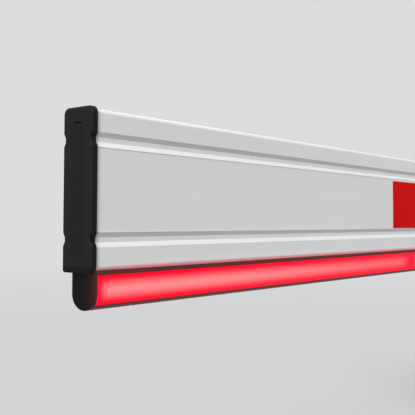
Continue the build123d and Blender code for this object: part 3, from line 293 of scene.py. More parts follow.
def black_plastic_lit(name, fade_mm, inward, strength):
    """Moulded black polyamide beside the lamps: red light bleeds into it and fades within a few
    millimetres, along the strip and, by the share inward, away from its front."""
    material, tree, shader = grained_skin(name, grain_mm=0.5, rough=0.5, gloss=0.1)
    clouded(tree, shader, "#040405", "#070708")
    place = axes(tree)
    outside = maths(tree, "MAXIMUM", maths(tree, "SUBTRACT", LENSES_LOW.x, place["X"]),
                    maths(tree, "SUBTRACT", place["X"], LENSES_HIGH.x))
    deep = maths(tree, "MULTIPLY", maths(tree, "SUBTRACT", place["Y"], LENSES_LOW.y), inward)
    reach = maths(tree, "ADD", maths(tree, "MAXIMUM", outside, 0.0), deep)
    faded = maths(tree, "POWER", math.e, maths(tree, "MULTIPLY", reach, -1 / (fade_mm * MM)))
    glow(tree, shader, faded, "#FF8080", strength)
    return material


def powder_coat(name, first, second):
    """Polyester powder coat on folded sheet steel: slight orange peel, a fine fleck and soft edges."""
    peel_size, fleck_size, cloud_size = 2.2, 0.6, 220
    material, tree, shader = new_material(name, Roughness=0.42)
    place = object_place(tree)
    peel = noise(tree, place, peel_size)
    tone = summed(tree, noise(tree, place, cloud_size), noise(tree, place, fleck_size))
    paint(tree, shader, blend_colours(tree, tone, first, second))
    roughen(tree, shader, peel, 0.36, 0.5)
    bump(tree, shader, peel, depth_mm=0.05, strength=0.6, edge_mm=1.2)
    return material


def zinc_plated_steel():
    """Steel with bright zinc plate: pale, a little cloudy and slightly blue."""
    cloud_size, ripple = 22, 1.4
    material, tree, shader = new_material("zinc_plated_steel", Metallic=1.0, Roughness=0.34)
    place = object_place(tree)
    cloud = noise(tree, place, cloud_size)
    paint(tree, shader, blend_colours(tree, cloud, "#B2B6B8", "#C6C9CA"))
    roughen(tree, shader, cloud, 0.3, 0.38)
    bump(tree, shader, noise(tree, place, ripple), depth_mm=0.01, strength=0.15, edge_mm=0.5)
    return material


def turned_steel(node, axis):
    """Turned steel: fine tool marks run round the piece's own axis, and as rings over its ends."""
    feed = 0.7                # coarser than a lathe's real feed, so that the marks show
    material, tree, shader = new_material("turned_steel_" + node, Metallic=1.0, Roughness=0.26)
    low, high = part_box(node)
    place = add(tree, "ShaderNodeTexCoord").outputs["Object"]
    place = add(tree, "ShaderNodeMapping", {"vector_type": "POINT"}, {"Vector": place},
                Location=-(low + high) / 2).outputs["Vector"]
    across = add(tree, "ShaderNodeVectorMath", {"operation": "MULTIPLY"}, {0: place})
    across.inputs[1].default_value = [0.0 if i == axis else 1.0 for i in range(3)]
    radius = length_of(tree, across.outputs[0])
    along = add(tree, "ShaderNodeSeparateXYZ", None, {0: place}).outputs[axis]
    mark_place = add(tree, "ShaderNodeCombineXYZ", None, {"X": radius, "Y": along}).outputs[0]
    marks = noise(tree, mark_place, feed)
    paint(tree, shader, blend_colours(tree, marks, "#A6A8A9", "#BDBFC0"))
    roughen(tree, shader, marks, 0.24, 0.32)
    bump(tree, shader, marks, depth_mm=0.01, strength=0.3)
    return material


def cast_alloy_painted():
    """Die-cast aluminium under grey machine paint: a slightly pebbled skin."""
    pebble_size, cloud_size = 1.6, 40
    material, tree, shader = new_material("cast_alloy_painted", Metallic=0.2, Roughness=0.48)
    place = object_place(tree)
    pebble = noise(tree, place, pebble_size, detail=3.0)
    cloud = noise(tree, place, cloud_size)
    paint(tree, shader, blend_colours(tree, cloud, "#74797C", "#878C8E"))
    roughen(tree, shader, pebble, 0.42, 0.56)
    bump(tree, shader, pebble, depth_mm=0.12, strength=0.7, edge_mm=1.2)
    return material


def red_lens_lit():
    """Extruded diffusing lens over red lamps: deep red along its rims and module ends, paler where the
    lamps sit close, and a little weaker towards the end of each module, where the supply drops."""
    first_lamp = 10 * MM                             # the lamps start this far into a module
    last_lamp, last_full = 8 * MM, 34 * MM           # and fade out towards its other end
    steady = 0.1                                     # share of a module before its paler core weakens
    far_share = 0.46                                 # what is left of the core at the module's far end
    core_reach, rim_from = 0.86, 0.76                # shares of the half width
    rim_light, full_light = 0.6, 4.0
    material, tree, shader = new_material("red_lens_lit", Roughness=0.35, Specular_IOR_Level=0.03,
                                          Base_Color=colour("#300206"))
    low, high = LENSES_LOW, LENSES_HIGH
    half = (high.z - low.z) / 2
    module = (high.x - low.x) / round((high.x - low.x) / LIGHT_MODULE)
    place = axes(tree)
    off = from_middle(tree, place["Z"], low.z, high.z)
    along = maths(tree, "MODULO", maths(tree, "SUBTRACT", place["X"], low.x), module)
    ends = maths(tree, "MULTIPLY", ramp(tree, along, 0.0, first_lamp),
                 ramp(tree, along, module - last_lamp, module - last_full))
    core = maths(tree, "MULTIPLY", ramp(tree, off, core_reach * half, 0.0), ends)
    core = maths(tree, "MULTIPLY", core, ramp(tree, along, steady * module, module, 1.0, far_share))
    light = ramp(tree, off, half, rim_from * half, rim_light, full_light)
    tree.links.new(blend_colours(tree, core, "#FF0218", "#FF484A"), shader.inputs["Emission Color"])
    tree.links.new(light, shader.inputs["Emission Strength"])
    return material


def red_retroreflective_film():
    """Laminated reflective film: red, with a smooth clear face over a fine cell pattern."""
    cell = 2.6                # coarser than the film's real cells, so that they show
    material, tree, shader = new_material("red_retroreflective_film", Roughness=0.45,
                                          Specular_IOR_Level=0.01)
    cells = add(tree, "ShaderNodeTexVoronoi", {"feature": "DISTANCE_TO_EDGE"},
                {"Vector": object_place(tree)}, Scale=1 / (cell * MM)).outputs["Distance"]
    wall = spread(tree, cells, 0.0, 0.12, 0, 1)
    paint(tree, shader, blend_colours(tree, wall, "#B60B0C", "#C00D0E"))
    bump(tree, shader, wall, depth_mm=0.01, strength=0.3)
    return material


SLOT_MATERIALS = {
    "cabinet": powder_coat("powder_coat_anthracite", "#4A4F54", "#53585D"),
    "roof": powder_coat("powder_coat_dark", "#33373B", "#3B3F43"),
    "zinc_steel": zinc_plated_steel(),
    "frame_steel": powder_coat("machine_paint_grey", "#7D8183", "#888C8E"),
    "cast_alloy": cast_alloy_painted(),
    "boom_aluminium": anodised_aluminium_extruded(),
    "black_plastic": matt_skin("black_polyamide_moulded", "#0D0D0E", "#131314"),
    "red_lens": red_lens_lit(),
    # white lacquer printed over the boards, smoother than a moulded skin
    "board": matt_skin("white_solder_mask", "#D8D8D2", "#E2E2DC", grain_mm=0.3, rough=0.3),
    "red_tape": red_retroreflective_film(),
    # dull and slightly dusty
    "rubber": matt_skin("black_rubber_moulded", "#161616", "#1E1E1E", grain_mm=0.8, rough=0.75),
    # a dark oxide skin with a trace of oil
    "spring_steel": matt_skin("oil_tempered_wire", "#2A2B2D", "#38393B", grain_mm=0.6, rough=0.4),
    "grey_plastic": matt_skin("grey_polyamide_moulded", "#B4B6B5", "#BEC0BF", grain_mm=0.4, rough=0.45),
}


def dress(node, material):
    """Gives a CAD piece its finish."""
    piece = nodes[node]
    piece.data.materials.clear()
    piece.data.materials.append(material)


Y_AXIS, Z_AXIS = 1, 2
UPRIGHT_TURNED = ("hinge_pins", "motor_shaft")       # the other turned pieces lie along Y
for entry in frame["record"]["subparts"]:
    node, finish = entry["node"], entry["material_slot"]
    if finish == "shaft_steel":
        dress(node, turned_steel(node, Z_AXIS if node in UPRIGHT_TURNED else Y_AXIS))
    else:
        dress(node, SLOT_MATERIALS[finish])
for node in ("boom_tip_cap", "boom_root_cap"):
    dress(node, boom_cap_plastic(node))
dress("led_carrier",
      black_plastic_lit("black_polyamide_lit", fade_mm=0.4, inward=0.0, strength=0.09))
dress("led_end_caps",
      black_plastic_lit("black_polyamide_end_lit", fade_mm=3.9, inward=1.0, strength=0.11))


# ---------------------------------------------------------------- shapes of the small fittings, in mm
UP_Y, DOWN_Y, OUT_X = (0, 1, 0), (0, -1, 0), (1, 0, 0)
SINK = 1                  # how deep a fitting sits in what carries it
SMALL_EDGE = 0.4          # rounding of small moulded edges


def box_mm(node):
    """Lowest and highest corner of a CAD piece, in millimetres."""
    return [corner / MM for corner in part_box(node)]


def solids_mm(node):
    """Lowest and highest corner of each separate solid of a CAD piece, in millimetres."""
    mesh = bmesh.new()
    mesh.from_mesh(nodes[node].data)
    bmesh.ops.remove_doubles(mesh, verts=mesh.verts, dist=0.01 * MM)
    boxes, seen = [], set()
    for start in mesh.verts:
        if start in seen:
            continue
        seen.add(start)
        waiting, points = [start], []
        while waiting:
            vert = waiting.pop()
            points.append(vert.co / MM)
            fresh = {edge.other_vert(vert) for edge in vert.link_edges} - seen
            seen |= fresh
            waiting += fresh
        boxes.append([Vector(pick(point[i] for point in points) for i in range(3))
                      for pick in (min, max)])
    mesh.free()
    return boxes


def skin(mesh, loops):
    """Closed skin over loops of points, each loop with as many points, capped at both ends."""
    rows = [[mesh.verts.new(point) for point in loop] for loop in loops]
    for first, second in zip(rows, rows[1:]):
        for k in range(len(first)):
            after = (k + 1) % len(first)
            mesh.faces.new((first[k], first[after], second[after], second[k]))
    mesh.faces.new(rows[0])
    mesh.faces.new(rows[-1])


def rounded_block(mesh, low, high, radius, segments=2):
    """Block from one corner to the other with rounded edges."""
    low, high = Vector(low), Vector(high)
    place = Matrix.Translation((low + high) / 2) @ Matrix.Diagonal((*(high - low), 1))
    corners = bmesh.ops.create_cube(mesh, size=1, matrix=place)["verts"]
    edges = dict.fromkeys(edge for corner in corners for edge in corner.link_edges)  # each edge once
    bmesh.ops.bevel(mesh, geom=list(edges), offset=radius, segments=segments, profile=0.5,
                    affect="EDGES")


def prism_x(mesh, outline, x0, x1):
    """Prism along X over an outline of (y, z) points."""
    skin(mesh, [[(x, y, z) for y, z in outline] for x in (x0, x1)])


def prism_z(mesh, outline, z0, z1):
    """Prism along Z over an outline of (x, y) points."""
    skin(mesh, [[(x, y, z) for x, y in outline] for z in (z0, z1)])


def rectangle_y(x0, x1, y, z0, z1):
    """Corners of a rectangle across Y."""
    return [(x0, y, z0), (x1, y, z0), (x1, y, z1), (x0, y, z1)]


def pocket_block(mesh, low, high, rim, depth):
    """Block whose face towards +Y has a tapered pocket, with a rim left round it."""
    (x0, y0, z0), (x1, y1, z1) = low, high
    taper = 1.4
    skin(mesh, [rectangle_y(x0 + side, x1 - side, y, z0 + side, z1 - side)
                for side, y in ((0, y0), (0, y1), (rim, y1), (taper * rim, y1 - depth))])


def ringed(mesh, at, towards, rings, sides=24):
    """Solid of rings round an axis; a ring is its height and its outline, a radius for each angle."""
    turn = Vector(towards).to_track_quat("Z", "Y").to_matrix()
    angles = [2 * math.pi * k / sides for k in range(sides)]
    skin(mesh, [[Vector(at) + turn @ Vector((math.cos(a) * reach(a), math.sin(a) * reach(a), height))
                 for a in angles] for height, reach in rings])


def circle(radius):
    """Round outline."""
    return lambda angle: radius


def cross(reach, width):
    """Outline of a cross recess."""
    return lambda angle: min(reach, width / max(min(abs(math.sin(angle)), abs(math.cos(angle))), 0.01))


def slot(reach, width):
    """Outline of a screwdriver slot."""
    return lambda angle: min(reach, width / max(abs(math.sin(angle)), 0.01))


def screw(mesh, at, towards, radius, recess=cross):
    """Pan head with its recess, on a seat at the point given; sizes are shares of the head's radius."""
    ringed(mesh, at, towards, [
        (0, circle(radius)),
        (0.3 * radius, circle(radius)),
        (0.52 * radius, circle(0.86 * radius)),
        (0.6 * radius, recess(0.6 * radius, 0.14 * radius)),
        (0.25 * radius, recess(0.5 * radius, 0.11 * radius)),
    ])


def dome(mesh, at, towards, radius, height):
    """Low button or lamp with a rounded top."""
    ringed(mesh, at, towards, [
        (0, circle(radius)),
        (0.6 * height, circle(radius)),
        (0.85 * height, circle(0.85 * radius)),
        (height, circle(0.5 * radius)),
    ])


def fitting(name, mesh, material, body):
    """Makes a piece of the mesh, gives it its finish and lets it ride on a body."""
    smooth_to = math.radians(35)
    bmesh.ops.recalc_face_normals(mesh, faces=mesh.faces)
    mesh.transform(Matrix.Scale(MM, 4))
    data = bpy.data.meshes.new(name)
    mesh.to_mesh(data)
    mesh.free()
    data.materials.append(material)
    data.shade_smooth()
    data.set_sharp_from_angle(angle=smooth_to)
    piece = bpy.data.objects.new(name, data)
    bpy.context.scene.collection.objects.link(piece)
    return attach(piece, body)


def slot_fitting(name, mesh, finish, body="cabinet"):
    """A piece in one of the record's finishes."""
    return fitting(name, mesh, SLOT_MATERIALS[finish], body)


# ---------------------------------------------------------------- control gear, which faces the door
GREEN_PLASTIC = matt_skin("green_polyamide_moulded", "#2C6E49", "#337A52", grain_mm=0.4, rough=0.45)
ORANGE_PLASTIC = matt_skin("orange_polyamide_moulded", "#B4551C", "#C05E22", grain_mm=0.4, rough=0.4)
WHITE_PLASTIC = matt_skin("white_polyamide_moulded", "#D2D3D0", "#DADBD8", grain_mm=0.4, rough=0.45)
GREY_LID = matt_skin("grey_lid_moulded", "#5A5E61", "#606468", grain_mm=0.4, rough=0.4)
RED_PLASTIC = matt_skin("red_lamp_moulded", "#A81A16", "#B5201B", grain_mm=0.4, rough=0.25)
# polished, so that it is glossier than the mouldings round it
PANE = matt_skin("acrylic_pane_polished", "#6F7A68", "#77826F", grain_mm=3.0, rough=0.12)
LAMP_RADIUS, LAMP_HEIGHT = 1.8, 1.4


def power_supply():
    """Switched supply on the rail: raised louvred cover, terminals below, a trimmer and a lamp."""
    low, high = box_mm("power_supply")
    cover_up, cover_side, cover_top, cover_foot = 3, 3, 4, 24
    face = high.y - cover_up
    case = bmesh.new()
    rounded_block(case, low, (high.x, face, high.z), radius=1.5)
    rounded_block(case, (low.x + cover_side, face - SINK, low.z + cover_foot),
                  (high.x - cover_side, high.y, high.z - cover_top), radius=0.8)
    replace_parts(slot_fitting("power_supply_case", case, "grey_plastic"), "power_supply")

    louvres, louvre_pitch, louvre_thick, louvre_side, louvre_down = 9, 5, 2.2, 10, 12
    louvre_in, louvre_out = 0.6, 0.8
    vents = bmesh.new()
    for k in range(louvres):
        z = high.z - louvre_down - louvre_pitch * k
        rounded_block(vents, (low.x + louvre_side, high.y - louvre_in, z),
                      (high.x - louvre_side, high.y + louvre_out, z + louvre_thick), SMALL_EDGE)
    slot_fitting("power_supply_louvres", vents, "grey_plastic")

    terminals, row_side, half_gap = 7, 5, 0.3
    mouth_low, mouth_high, seat_high, seat_back = 3, 12, 21, 1.5
    blocks, screws = bmesh.new(), bmesh.new()
    pitch = (high.x - low.x - 2 * row_side) / terminals
    starts = [low.x + row_side + k * pitch for k in range(terminals)]
    for x in starts:      # all pockets before the first rounded block keeps the mesh the same each run
        pocket_block(blocks, (x + half_gap, face - SINK, low.z + mouth_low),
                     (x + pitch - half_gap, high.y, low.z + mouth_high), rim=1.6, depth=4)
    for x in starts:
        rounded_block(blocks, (x + half_gap, face - SINK, low.z + mouth_high),
                      (x + pitch - half_gap, high.y - seat_back, low.z + seat_high), SMALL_EDGE)
        screw(screws, (x + pitch / 2, high.y - seat_back, low.z + (mouth_high + seat_high) / 2),
              UP_Y, radius=3.2)
    slot_fitting("power_supply_terminals", blocks, "black_plastic")
    slot_fitting("power_supply_terminal_screws", screws, "zinc_steel")

    lamp_side, trimmer_side, above_foot = 12, 22, 29
    lamp, trimmer = bmesh.new(), bmesh.new()
    dome(lamp, (low.x + lamp_side, high.y, low.z + above_foot), UP_Y, LAMP_RADIUS, LAMP_HEIGHT)
    fitting("power_supply_lamp", lamp, GREEN_PLASTIC, "cabinet")
    dial = [(0, circle(3)), (1, circle(3)), (1.2, circle(2.4)),
            (1.2, slot(2.2, 0.5)), (0.4, slot(2.0, 0.4))]
    ringed(trimmer, (low.x + trimmer_side, high.y, low.z + above_foot), UP_Y, dial)
    fitting("power_supply_trimmer", trimmer, ORANGE_PLASTIC, "cabinet")


def circuit_breaker():
    """Two-pole breaker: sloped shoulders with screw wells, and joined toggles in the nose."""
    low, high = box_mm("circuit_breaker")
    pole_count, half_gap, nose_up, nose, slope, bevel = 2, 0.15, 16, 22.5, 3, 4
    middle, half = (low.z + high.z) / 2, (high.z - low.z) / 2
    shoulder, width = high.y - nose_up, (high.x - low.x) / pole_count
    side = [(low.y, -half), (shoulder - slope, -half), (shoulder, slope - half),
            (shoulder, -nose - slope), (high.y - bevel, -nose), (high.y, bevel - nose),
            (high.y, nose - bevel), (high.y - bevel, nose), (shoulder, nose + slope),
            (shoulder, half - slope), (shoulder - slope, half), (low.y, half)]
    outline = [(y, middle + z) for y, z in side]
    well_in, well_floor = 9, 0.2
    well = [(0, circle(5)), (1.6, circle(4.8)), (1.6, circle(3.9)), (well_floor, circle(3.6))]
    toggle_side, toggle_down, toggle_up, toggle_out = 4.5, 4, 7, 6.5
    ribs, rib_side, rib_down, rib_pitch, rib_thick, rib_in, rib_out = 3, 5.5, 2.5, 2.6, 1.2, 5.5, 7.4
    poles, screws, wells, toggles = (bmesh.new() for _ in range(4))
    for k in range(pole_count):
        left, right = low.x + k * width, low.x + (k + 1) * width
        prism_x(poles, outline, left + half_gap, right - half_gap)
        for z in (middle - half + well_in, middle + half - well_in):
            ringed(wells, ((left + right) / 2, shoulder, z), UP_Y, well)
            screw(screws, ((left + right) / 2, shoulder + well_floor, z), UP_Y, radius=3.3)
        rounded_block(toggles, (left + toggle_side, high.y - 2 * SINK, middle - toggle_down),
                      (right - toggle_side, high.y + toggle_out, middle + toggle_up), radius=1.2)
        for rib in range(ribs):
            z = middle - rib_down + rib_pitch * rib
            rounded_block(toggles, (left + rib_side, high.y + rib_in, z),
                          (right - rib_side, high.y + rib_out, z + rib_thick), SMALL_EDGE)
    bar_side, bar_in, bar_out, bar_down, bar_up = 8, 1.5, 5, 1, 3.5
    rounded_block(toggles, (low.x + bar_side, high.y + bar_in, middle - bar_down),
                  (high.x - bar_side, high.y + bar_out, middle + bar_up), radius=0.8)
    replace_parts(slot_fitting("circuit_breaker_poles", poles, "grey_plastic"), "circuit_breaker")
    slot_fitting("circuit_breaker_wells", wells, "grey_plastic")
    slot_fitting("circuit_breaker_screws", screws, "zinc_steel")
    slot_fitting("circuit_breaker_toggles", toggles, "black_plastic")


def terminal_clamps():
    """Row of rail clamps with stepped sides: earths at both ends, a blank marker strip, end stops."""
    low, high = box_mm("terminal_clamps")
    clamps, gap = 12, 0.3
    pitch = (high.x - low.x + gap) / clamps
    middle, half = (low.z + high.z) / 2, (high.z - low.z) / 2
    foot, slope, seat = high.y - 15, high.y - 7, high.y - 5      # depths of the steps in a clamp's side
    slope_in, seat_in, nose_foot, nose = 4, 4.5, 5, 4
    side = [(low.y, -half), (foot, -half), (slope, slope_in - half), (seat, seat_in - half),
            (seat, -nose_foot), (high.y, -nose), (high.y, nose), (seat, nose_foot),
            (seat, half - seat_in), (slope, half - slope_in), (foot, half), (low.y, half)]
    outline = [(y, middle + z) for y, z in side]
    screw_off = 11
    bodies, earths, screws, stops, strip = (bmesh.new() for _ in range(5))
    for k in range(clamps):
        x = low.x + k * pitch
        prism_x(earths if k in (0, clamps - 1) else bodies, outline, x, x + pitch - gap)
        for z in (middle - screw_off, middle + screw_off):
            screw(screws, (x + (pitch - gap) / 2, seat, z), UP_Y, radius=2.4, recess=slot)
    stop_gap, stop_wide, stop_down, stop_in = 0.4, 5, 6, 4
    for x in (low.x - stop_gap - stop_wide, high.x + stop_gap):
        rounded_block(stops, (x, low.y, middle - half + stop_in),
                      (x + stop_wide, high.y - stop_down, middle + half - stop_in), radius=0.8)
        screw(screws, (x + stop_wide / 2, high.y - stop_down, middle), UP_Y, radius=2.2, recess=slot)
    strip_in, strip_out, strip_half = 0.4, 0.8, 2.6
    rounded_block(strip, (low.x, high.y - strip_in, middle - strip_half),
                  (high.x, high.y + strip_out, middle + strip_half), radius=0.3)
    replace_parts(slot_fitting("terminal_clamp_row", bodies, "grey_plastic"), "terminal_clamps")
    fitting("terminal_clamp_earths", earths, GREEN_PLASTIC, "cabinet")
    fitting("terminal_marker_strip", strip, WHITE_PLASTIC, "cabinet")
    slot_fitting("terminal_clamp_screws", screws, "zinc_steel")
    slot_fitting("terminal_end_stops", stops, "grey_plastic")


def control_unit():
    """Controller: housing with a screwed lid, blank display, keys, lamps and two rows of plug-ins."""
    low, high = box_mm("control_unit")
    middle = (low.z + high.z) / 2
    lid_up, lid_side, lid_in = 4, 4, 24
    face = high.y - lid_up
    housing, lid, screws = (bmesh.new() for _ in range(3))
    rounded_block(housing, low, (high.x, face, high.z), radius=3, segments=3)
    rounded_block(lid, (low.x + lid_side, face - SINK, low.z + lid_in),
                  (high.x - lid_side, high.y, high.z - lid_in), radius=1.6, segments=3)
    screw_side, screw_in = 12, 32
    for x in (low.x + screw_side, high.x - screw_side):
        for z in (low.z + screw_in, high.z - screw_in):
            screw(screws, (x, high.y, z), UP_Y, radius=3)
    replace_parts(slot_fitting("control_unit_housing", housing, "black_plastic"), "control_unit")
    fitting("control_unit_lid", lid, GREY_LID, "cabinet")
    slot_fitting("control_unit_lid_screws", screws, "zinc_steel")

    clamps, pitch, half_gap, row_in, mouth_len, seat_len, mouth_out = 20, 7.6, 0.3, 4, 9, 8, 2
    plugs, clips = bmesh.new(), bmesh.new()
    first = (low.x + high.x) / 2 - pitch * clamps / 2
    starts = [first + k * pitch for k in range(clamps)]
    mouths, seats = [], []
    for inward, edge in ((1, low.z + row_in), (-1, high.z - row_in)):
        step = edge + inward * mouth_len
        mouths.append(sorted((edge, step)))
        seats.append(sorted((step, step + inward * seat_len)))
    for foot, top in mouths:                         # pockets first, as on the power supply
        for x in starts:
            pocket_block(plugs, (x + half_gap, face - SINK, foot),
                         (x + pitch - half_gap, high.y + mouth_out, top), rim=1.3, depth=4)
    for foot, top in seats:
        for x in starts:
            rounded_block(plugs, (x + half_gap, face - SINK, foot),
                          (x + pitch - half_gap, high.y, top), SMALL_EDGE)
            screw(clips, (x + pitch / 2, high.y, (foot + top) / 2), UP_Y, radius=2.4, recess=slot)
    fitting("control_unit_plug_clamps", plugs, GREEN_PLASTIC, "cabinet")
    slot_fitting("control_unit_clamp_screws", clips, "zinc_steel")

    bezel_side, bezel_wide, bezel_half, bezel_out, pane_in, pane_out = 24, 60, 15, 2, 4.5, 0.8
    left, right = low.x + bezel_side, low.x + bezel_side + bezel_wide
    pane_half = bezel_half - pane_in
    bezel, pane = bmesh.new(), bmesh.new()
    pocket_block(bezel, (left, high.y - SINK, middle - bezel_half),
                 (right, high.y + bezel_out, middle + bezel_half), rim=3, depth=1.6)
    rounded_block(pane, (left + pane_in, high.y - SINK / 2, middle - pane_half),
                  (right - pane_in, high.y + pane_out, middle + pane_half), radius=0.3)
    slot_fitting("control_unit_bezel", bezel, "black_plastic")
    fitting("control_unit_display", pane, PANE, "cabinet")

    key_count, key_side, key_pitch, key_down, lamp_up, key_seat = 4, 98, 16, 7, 8, 0.6
    collar = [(0, circle(6)), (1, circle(5.8)), (1, circle(5.2)), (key_seat, circle(5))]
    keys, green, red = (bmesh.new() for _ in range(3))
    for k in range(key_count):
        x = low.x + key_side + key_pitch * k
        ringed(keys, (x, high.y, middle - key_down), UP_Y, collar)
        dome(keys, (x, high.y + key_seat, middle - key_down), UP_Y, radius=4.6, height=2.2)
        lamp = red if k == key_count - 1 else green
        dome(lamp, (x, high.y, middle + lamp_up), UP_Y, LAMP_RADIUS, LAMP_HEIGHT)
    slot_fitting("control_unit_keys", keys, "black_plastic")
    fitting("control_unit_lamps", green, GREEN_PLASTIC, "cabinet")
    fitting("control_unit_fault_lamp", red, RED_PLASTIC, "cabinet")


def mounting_plate_screws():
    """Screws through the mounting plate into its spacers."""
    face = box_mm("mounting_plate")[1].y
    low, high = box_mm("plate_spacers")
    spacer_radius = 6
    screws = bmesh.new()
    for x in (low.x + spacer_radius, high.x - spacer_radius):
        for z in (low.z + spacer_radius, high.z - spacer_radius):
            screw(screws, (x, face, z), UP_Y, radius=5)
    slot_fitting("mounting_plate_screws", screws, "zinc_steel")


for make in (power_supply, circuit_breaker, terminal_clamps, control_unit, mounting_plate_screws):
    make()


# ---------------------------------------------------------------- door, hinges, switches and boom clamp
def door_stiffener():
    """Hat section spot-welded inside the door, between its lock and its hinges."""
    low, high = box_mm("cabinet_door")
    door_sheet, depth, sheet = 2, 15, 1.5
    back, top = high.y - door_sheet, high.y - depth
    crown, foot, flange, inner_foot = 15, 19, 32, 17.6           # half widths
    outer = [(-flange, back - sheet), (-foot, back - sheet), (-crown, top),
             (crown, top), (foot, back - sheet), (flange, back - sheet)]
    inner = [(flange, back), (inner_foot, back), (crown - 1, top + sheet),
             (1 - crown, top + sheet), (-inner_foot, back), (-flange, back)]
    from_end, weld_count, weld_in = 60, 11, 14
    first, last = low.z + from_end, high.z - from_end
    hat, welds = bmesh.new(), bmesh.new()
    prism_z(hat, outer + inner, first, last)
    dimple = [(-0.3, circle(3.2)), (0.25, circle(3)), (0.25, circle(2.2)), (0.05, circle(1.6))]
    for k in range(weld_count):
        z = first + weld_in + k * (last - first - 2 * weld_in) / (weld_count - 1)
        for x in (-(foot + flange) / 2, (foot + flange) / 2):
            ringed(welds, (x, back - sheet, z), DOWN_Y, dimple)
    slot_fitting("door_stiffener", hat, "cabinet", "door")
    slot_fitting("door_stiffener_welds", welds, "cabinet", "door")


def hinge_screws():
    """Two screws in each hinge leaf, beside its knuckle."""
    knuckle, leaf_thick, from_edge, from_end = 35, 3, 6, 9
    for node, body in (("hinge_frame_leaves", "cabinet"), ("hinge_door_leaves", "door")):
        low, high = box_mm(node)
        y = low.y + from_edge if body == "cabinet" else high.y - from_edge
        screws = bmesh.new()
        for foot in (low.z, high.z - knuckle):
            for z in (foot + from_end, foot + knuckle - from_end):
                screw(screws, (low.x + leaf_thick, y, z), OUT_X, radius=3.6)
        slot_fitting(node + "_screws", screws, "zinc_steel", body)


def switch_details():
    """Two screws and a snap-on cover on each limit switch."""
    low, high = box_mm("limit_switches")
    width, screw_side, screw_down = 20, 5, 6
    cover_side, cover_in, cover_out, cover_low, cover_down = 1.5, 0.5, 1.2, 6, 11
    screws, covers = bmesh.new(), bmesh.new()
    for left, right in ((low.x, low.x + width), (high.x - width, high.x)):
        for x in (left + screw_side, right - screw_side):
            screw(screws, (x, high.y, high.z - screw_down), UP_Y, radius=2.2)
        rounded_block(covers, (left + cover_side, high.y - cover_in, low.z + cover_low),
                      (right - cover_side, high.y + cover_out, high.z - cover_down), radius=0.6)
    slot_fitting("limit_switch_screws", screws, "zinc_steel")
    slot_fitting("limit_switch_covers", covers, "black_plastic")


def clamp_washers():
    """Chamfered washers under the heads that hold the clamp plate."""
    seat = box_mm("boom_clamp_plate")[0].y
    radius, thick, chamfer, bore, sides = 10.5, 1.6, 0.5, 5, 48
    profile = [(-0.2, circle(radius)), (thick - chamfer, circle(radius)),
               (thick, circle(radius - chamfer)), (thick, circle(bore))]
    washers = bmesh.new()
    for low, high in solids_mm("clamp_bolts"):
        middle = (low + high) / 2
        ringed(washers, (middle.x, seat, middle.z), DOWN_Y, profile, sides)
    slot_fitting("clamp_bolt_washers", washers, "zinc_steel", "boom")


for make in (door_stiffener, hinge_screws, switch_details, clamp_washers):
    make()


# ---------------------------------------------------------------- floor, light and camera
BACKGROUND = "#DCDDDE"    # what the camera, metal and glass see
SKY = "#929394"           # what lights the pieces
FLOOR = "#B0B1B2"         # the floor as seen
FLOOR_BOUNCE = "#696A6B"  # and as it lights the pieces
FLOOR_SIZE = 90           # metres
FADE_FROM, FADE_TO = 4.5, 12                         # metres over which the floor turns to background

# lamp: direction its light travels, strength, how wide it stands in the sky in degrees
SUNS = {
    "key": ((0.56, 0.5, -0.67), 4.5, 40),
    "side": ((0.7, 0.6, -0.4), 0.1, 40),
    "fill": ((-0.55, -0.75, -0.37), 1.2, 60),
    "high": ((-0.45, 0.35, -0.82), 0.32, 40),
}

LENS_MM = 62.9237         # focal length for the camera's 36 mm sensor
SHIFT_DOWN = 0.037349     # how far the view is shifted down, as a share of the picture's side
YAW, PITCH, ROLL = (math.radians(angle) for angle in (39.315, 2.330, -0.201))
EYE_MM = (-299.55, -333.9, 30.53)                    # from the low front corner of the boom's free end


def by_ray(tree, seen, lighting):
    """One colour for what is seen directly, mirrored or through glass, another for what only lights."""
    rays = add(tree, "ShaderNodeLightPath").outputs
    direct = maths(tree, "MAXIMUM", rays["Is Camera Ray"], rays["Is Transmission Ray"])
    return blend_colours(tree, maths(tree, "MAXIMUM", direct, rays["Is Glossy Ray"]), lighting, seen)


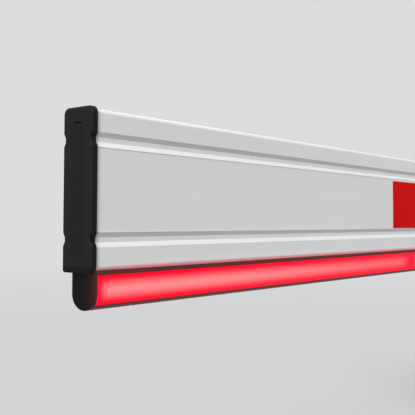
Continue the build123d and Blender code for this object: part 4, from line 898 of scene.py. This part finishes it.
def pale_floor():
    """Pale matt floor that fades into a background of its own colour."""
    bpy.ops.mesh.primitive_plane_add(size=FLOOR_SIZE, location=(0, 0, 0))
    floor = bpy.context.active_object
    floor.name = "floor"
    material = bpy.data.materials.new("pale_floor")
    tree = blank_tree(material)
    matt = add(tree, "ShaderNodeBsdfDiffuse", None, {"Color": by_ray(tree, FLOOR, FLOOR_BOUNCE)})
    far = add(tree, "ShaderNodeEmission", None, {"Color": by_ray(tree, BACKGROUND, SKY)})
    place = add(tree, "ShaderNodeTexCoord").outputs["Object"]
    faded = spread(tree, length_of(tree, place), FADE_FROM, FADE_TO, 0, 1)
    mix = add(tree, "ShaderNodeMixShader", None, {0: faded, 1: matt.outputs[0], 2: far.outputs[0]})
    finish_tree(tree, "ShaderNodeOutputMaterial", mix.outputs[0])
    floor.data.materials.append(material)


def soft_sky():
    """Even world light of one pale colour."""
    world = bpy.data.worlds.new("soft_sky")
    bpy.context.scene.world = world
    tree = blank_tree(world)
    sky = add(tree, "ShaderNodeBackground", None, {"Color": by_ray(tree, BACKGROUND, SKY)})
    finish_tree(tree, "ShaderNodeOutputWorld", sky.outputs[0])


def sun(name, towards, strength, angle):
    """Soft distant lamp whose light travels along the vector towards."""
    lamp = bpy.data.lights.new(name, "SUN")
    lamp.energy = strength
    lamp.angle = math.radians(angle)
    holder = bpy.data.objects.new(name, lamp)
    holder.rotation_mode = "QUATERNION"
    holder.rotation_quaternion = Vector(towards).to_track_quat("-Z", "Y")
    bpy.context.scene.collection.objects.link(holder)


def camera():
    """Camera low in front of the boom's free end, looking along the boom and slightly up."""
    forward = Vector((math.cos(YAW) * math.cos(PITCH), math.sin(YAW) * math.cos(PITCH),
                      math.sin(PITCH)))
    level = Vector((math.sin(YAW), -math.cos(YAW), 0))
    below = forward.cross(level)
    right = math.cos(ROLL) * level + math.sin(ROLL) * below
    down = math.cos(ROLL) * below - math.sin(ROLL) * level
    data = bpy.data.cameras.new("camera")
    data.lens = LENS_MM
    data.shift_y = -SHIFT_DOWN
    data.clip_start, data.clip_end = 0.05, 200
    holder = bpy.data.objects.new("camera", data)
    turn = Matrix((right, -down, -forward)).transposed().to_4x4()
    holder.matrix_world = Matrix.Translation(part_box("boom_profile")[0] + Vector(EYE_MM) * MM) @ turn
    bpy.context.scene.collection.objects.link(holder)
    bpy.context.scene.camera = holder


pale_floor()
soft_sky()
for name, (towards, strength, angle) in SUNS.items():
    sun(name, towards, strength, angle)
camera()
bpy.context.scene.view_settings.view_transform = "Standard"
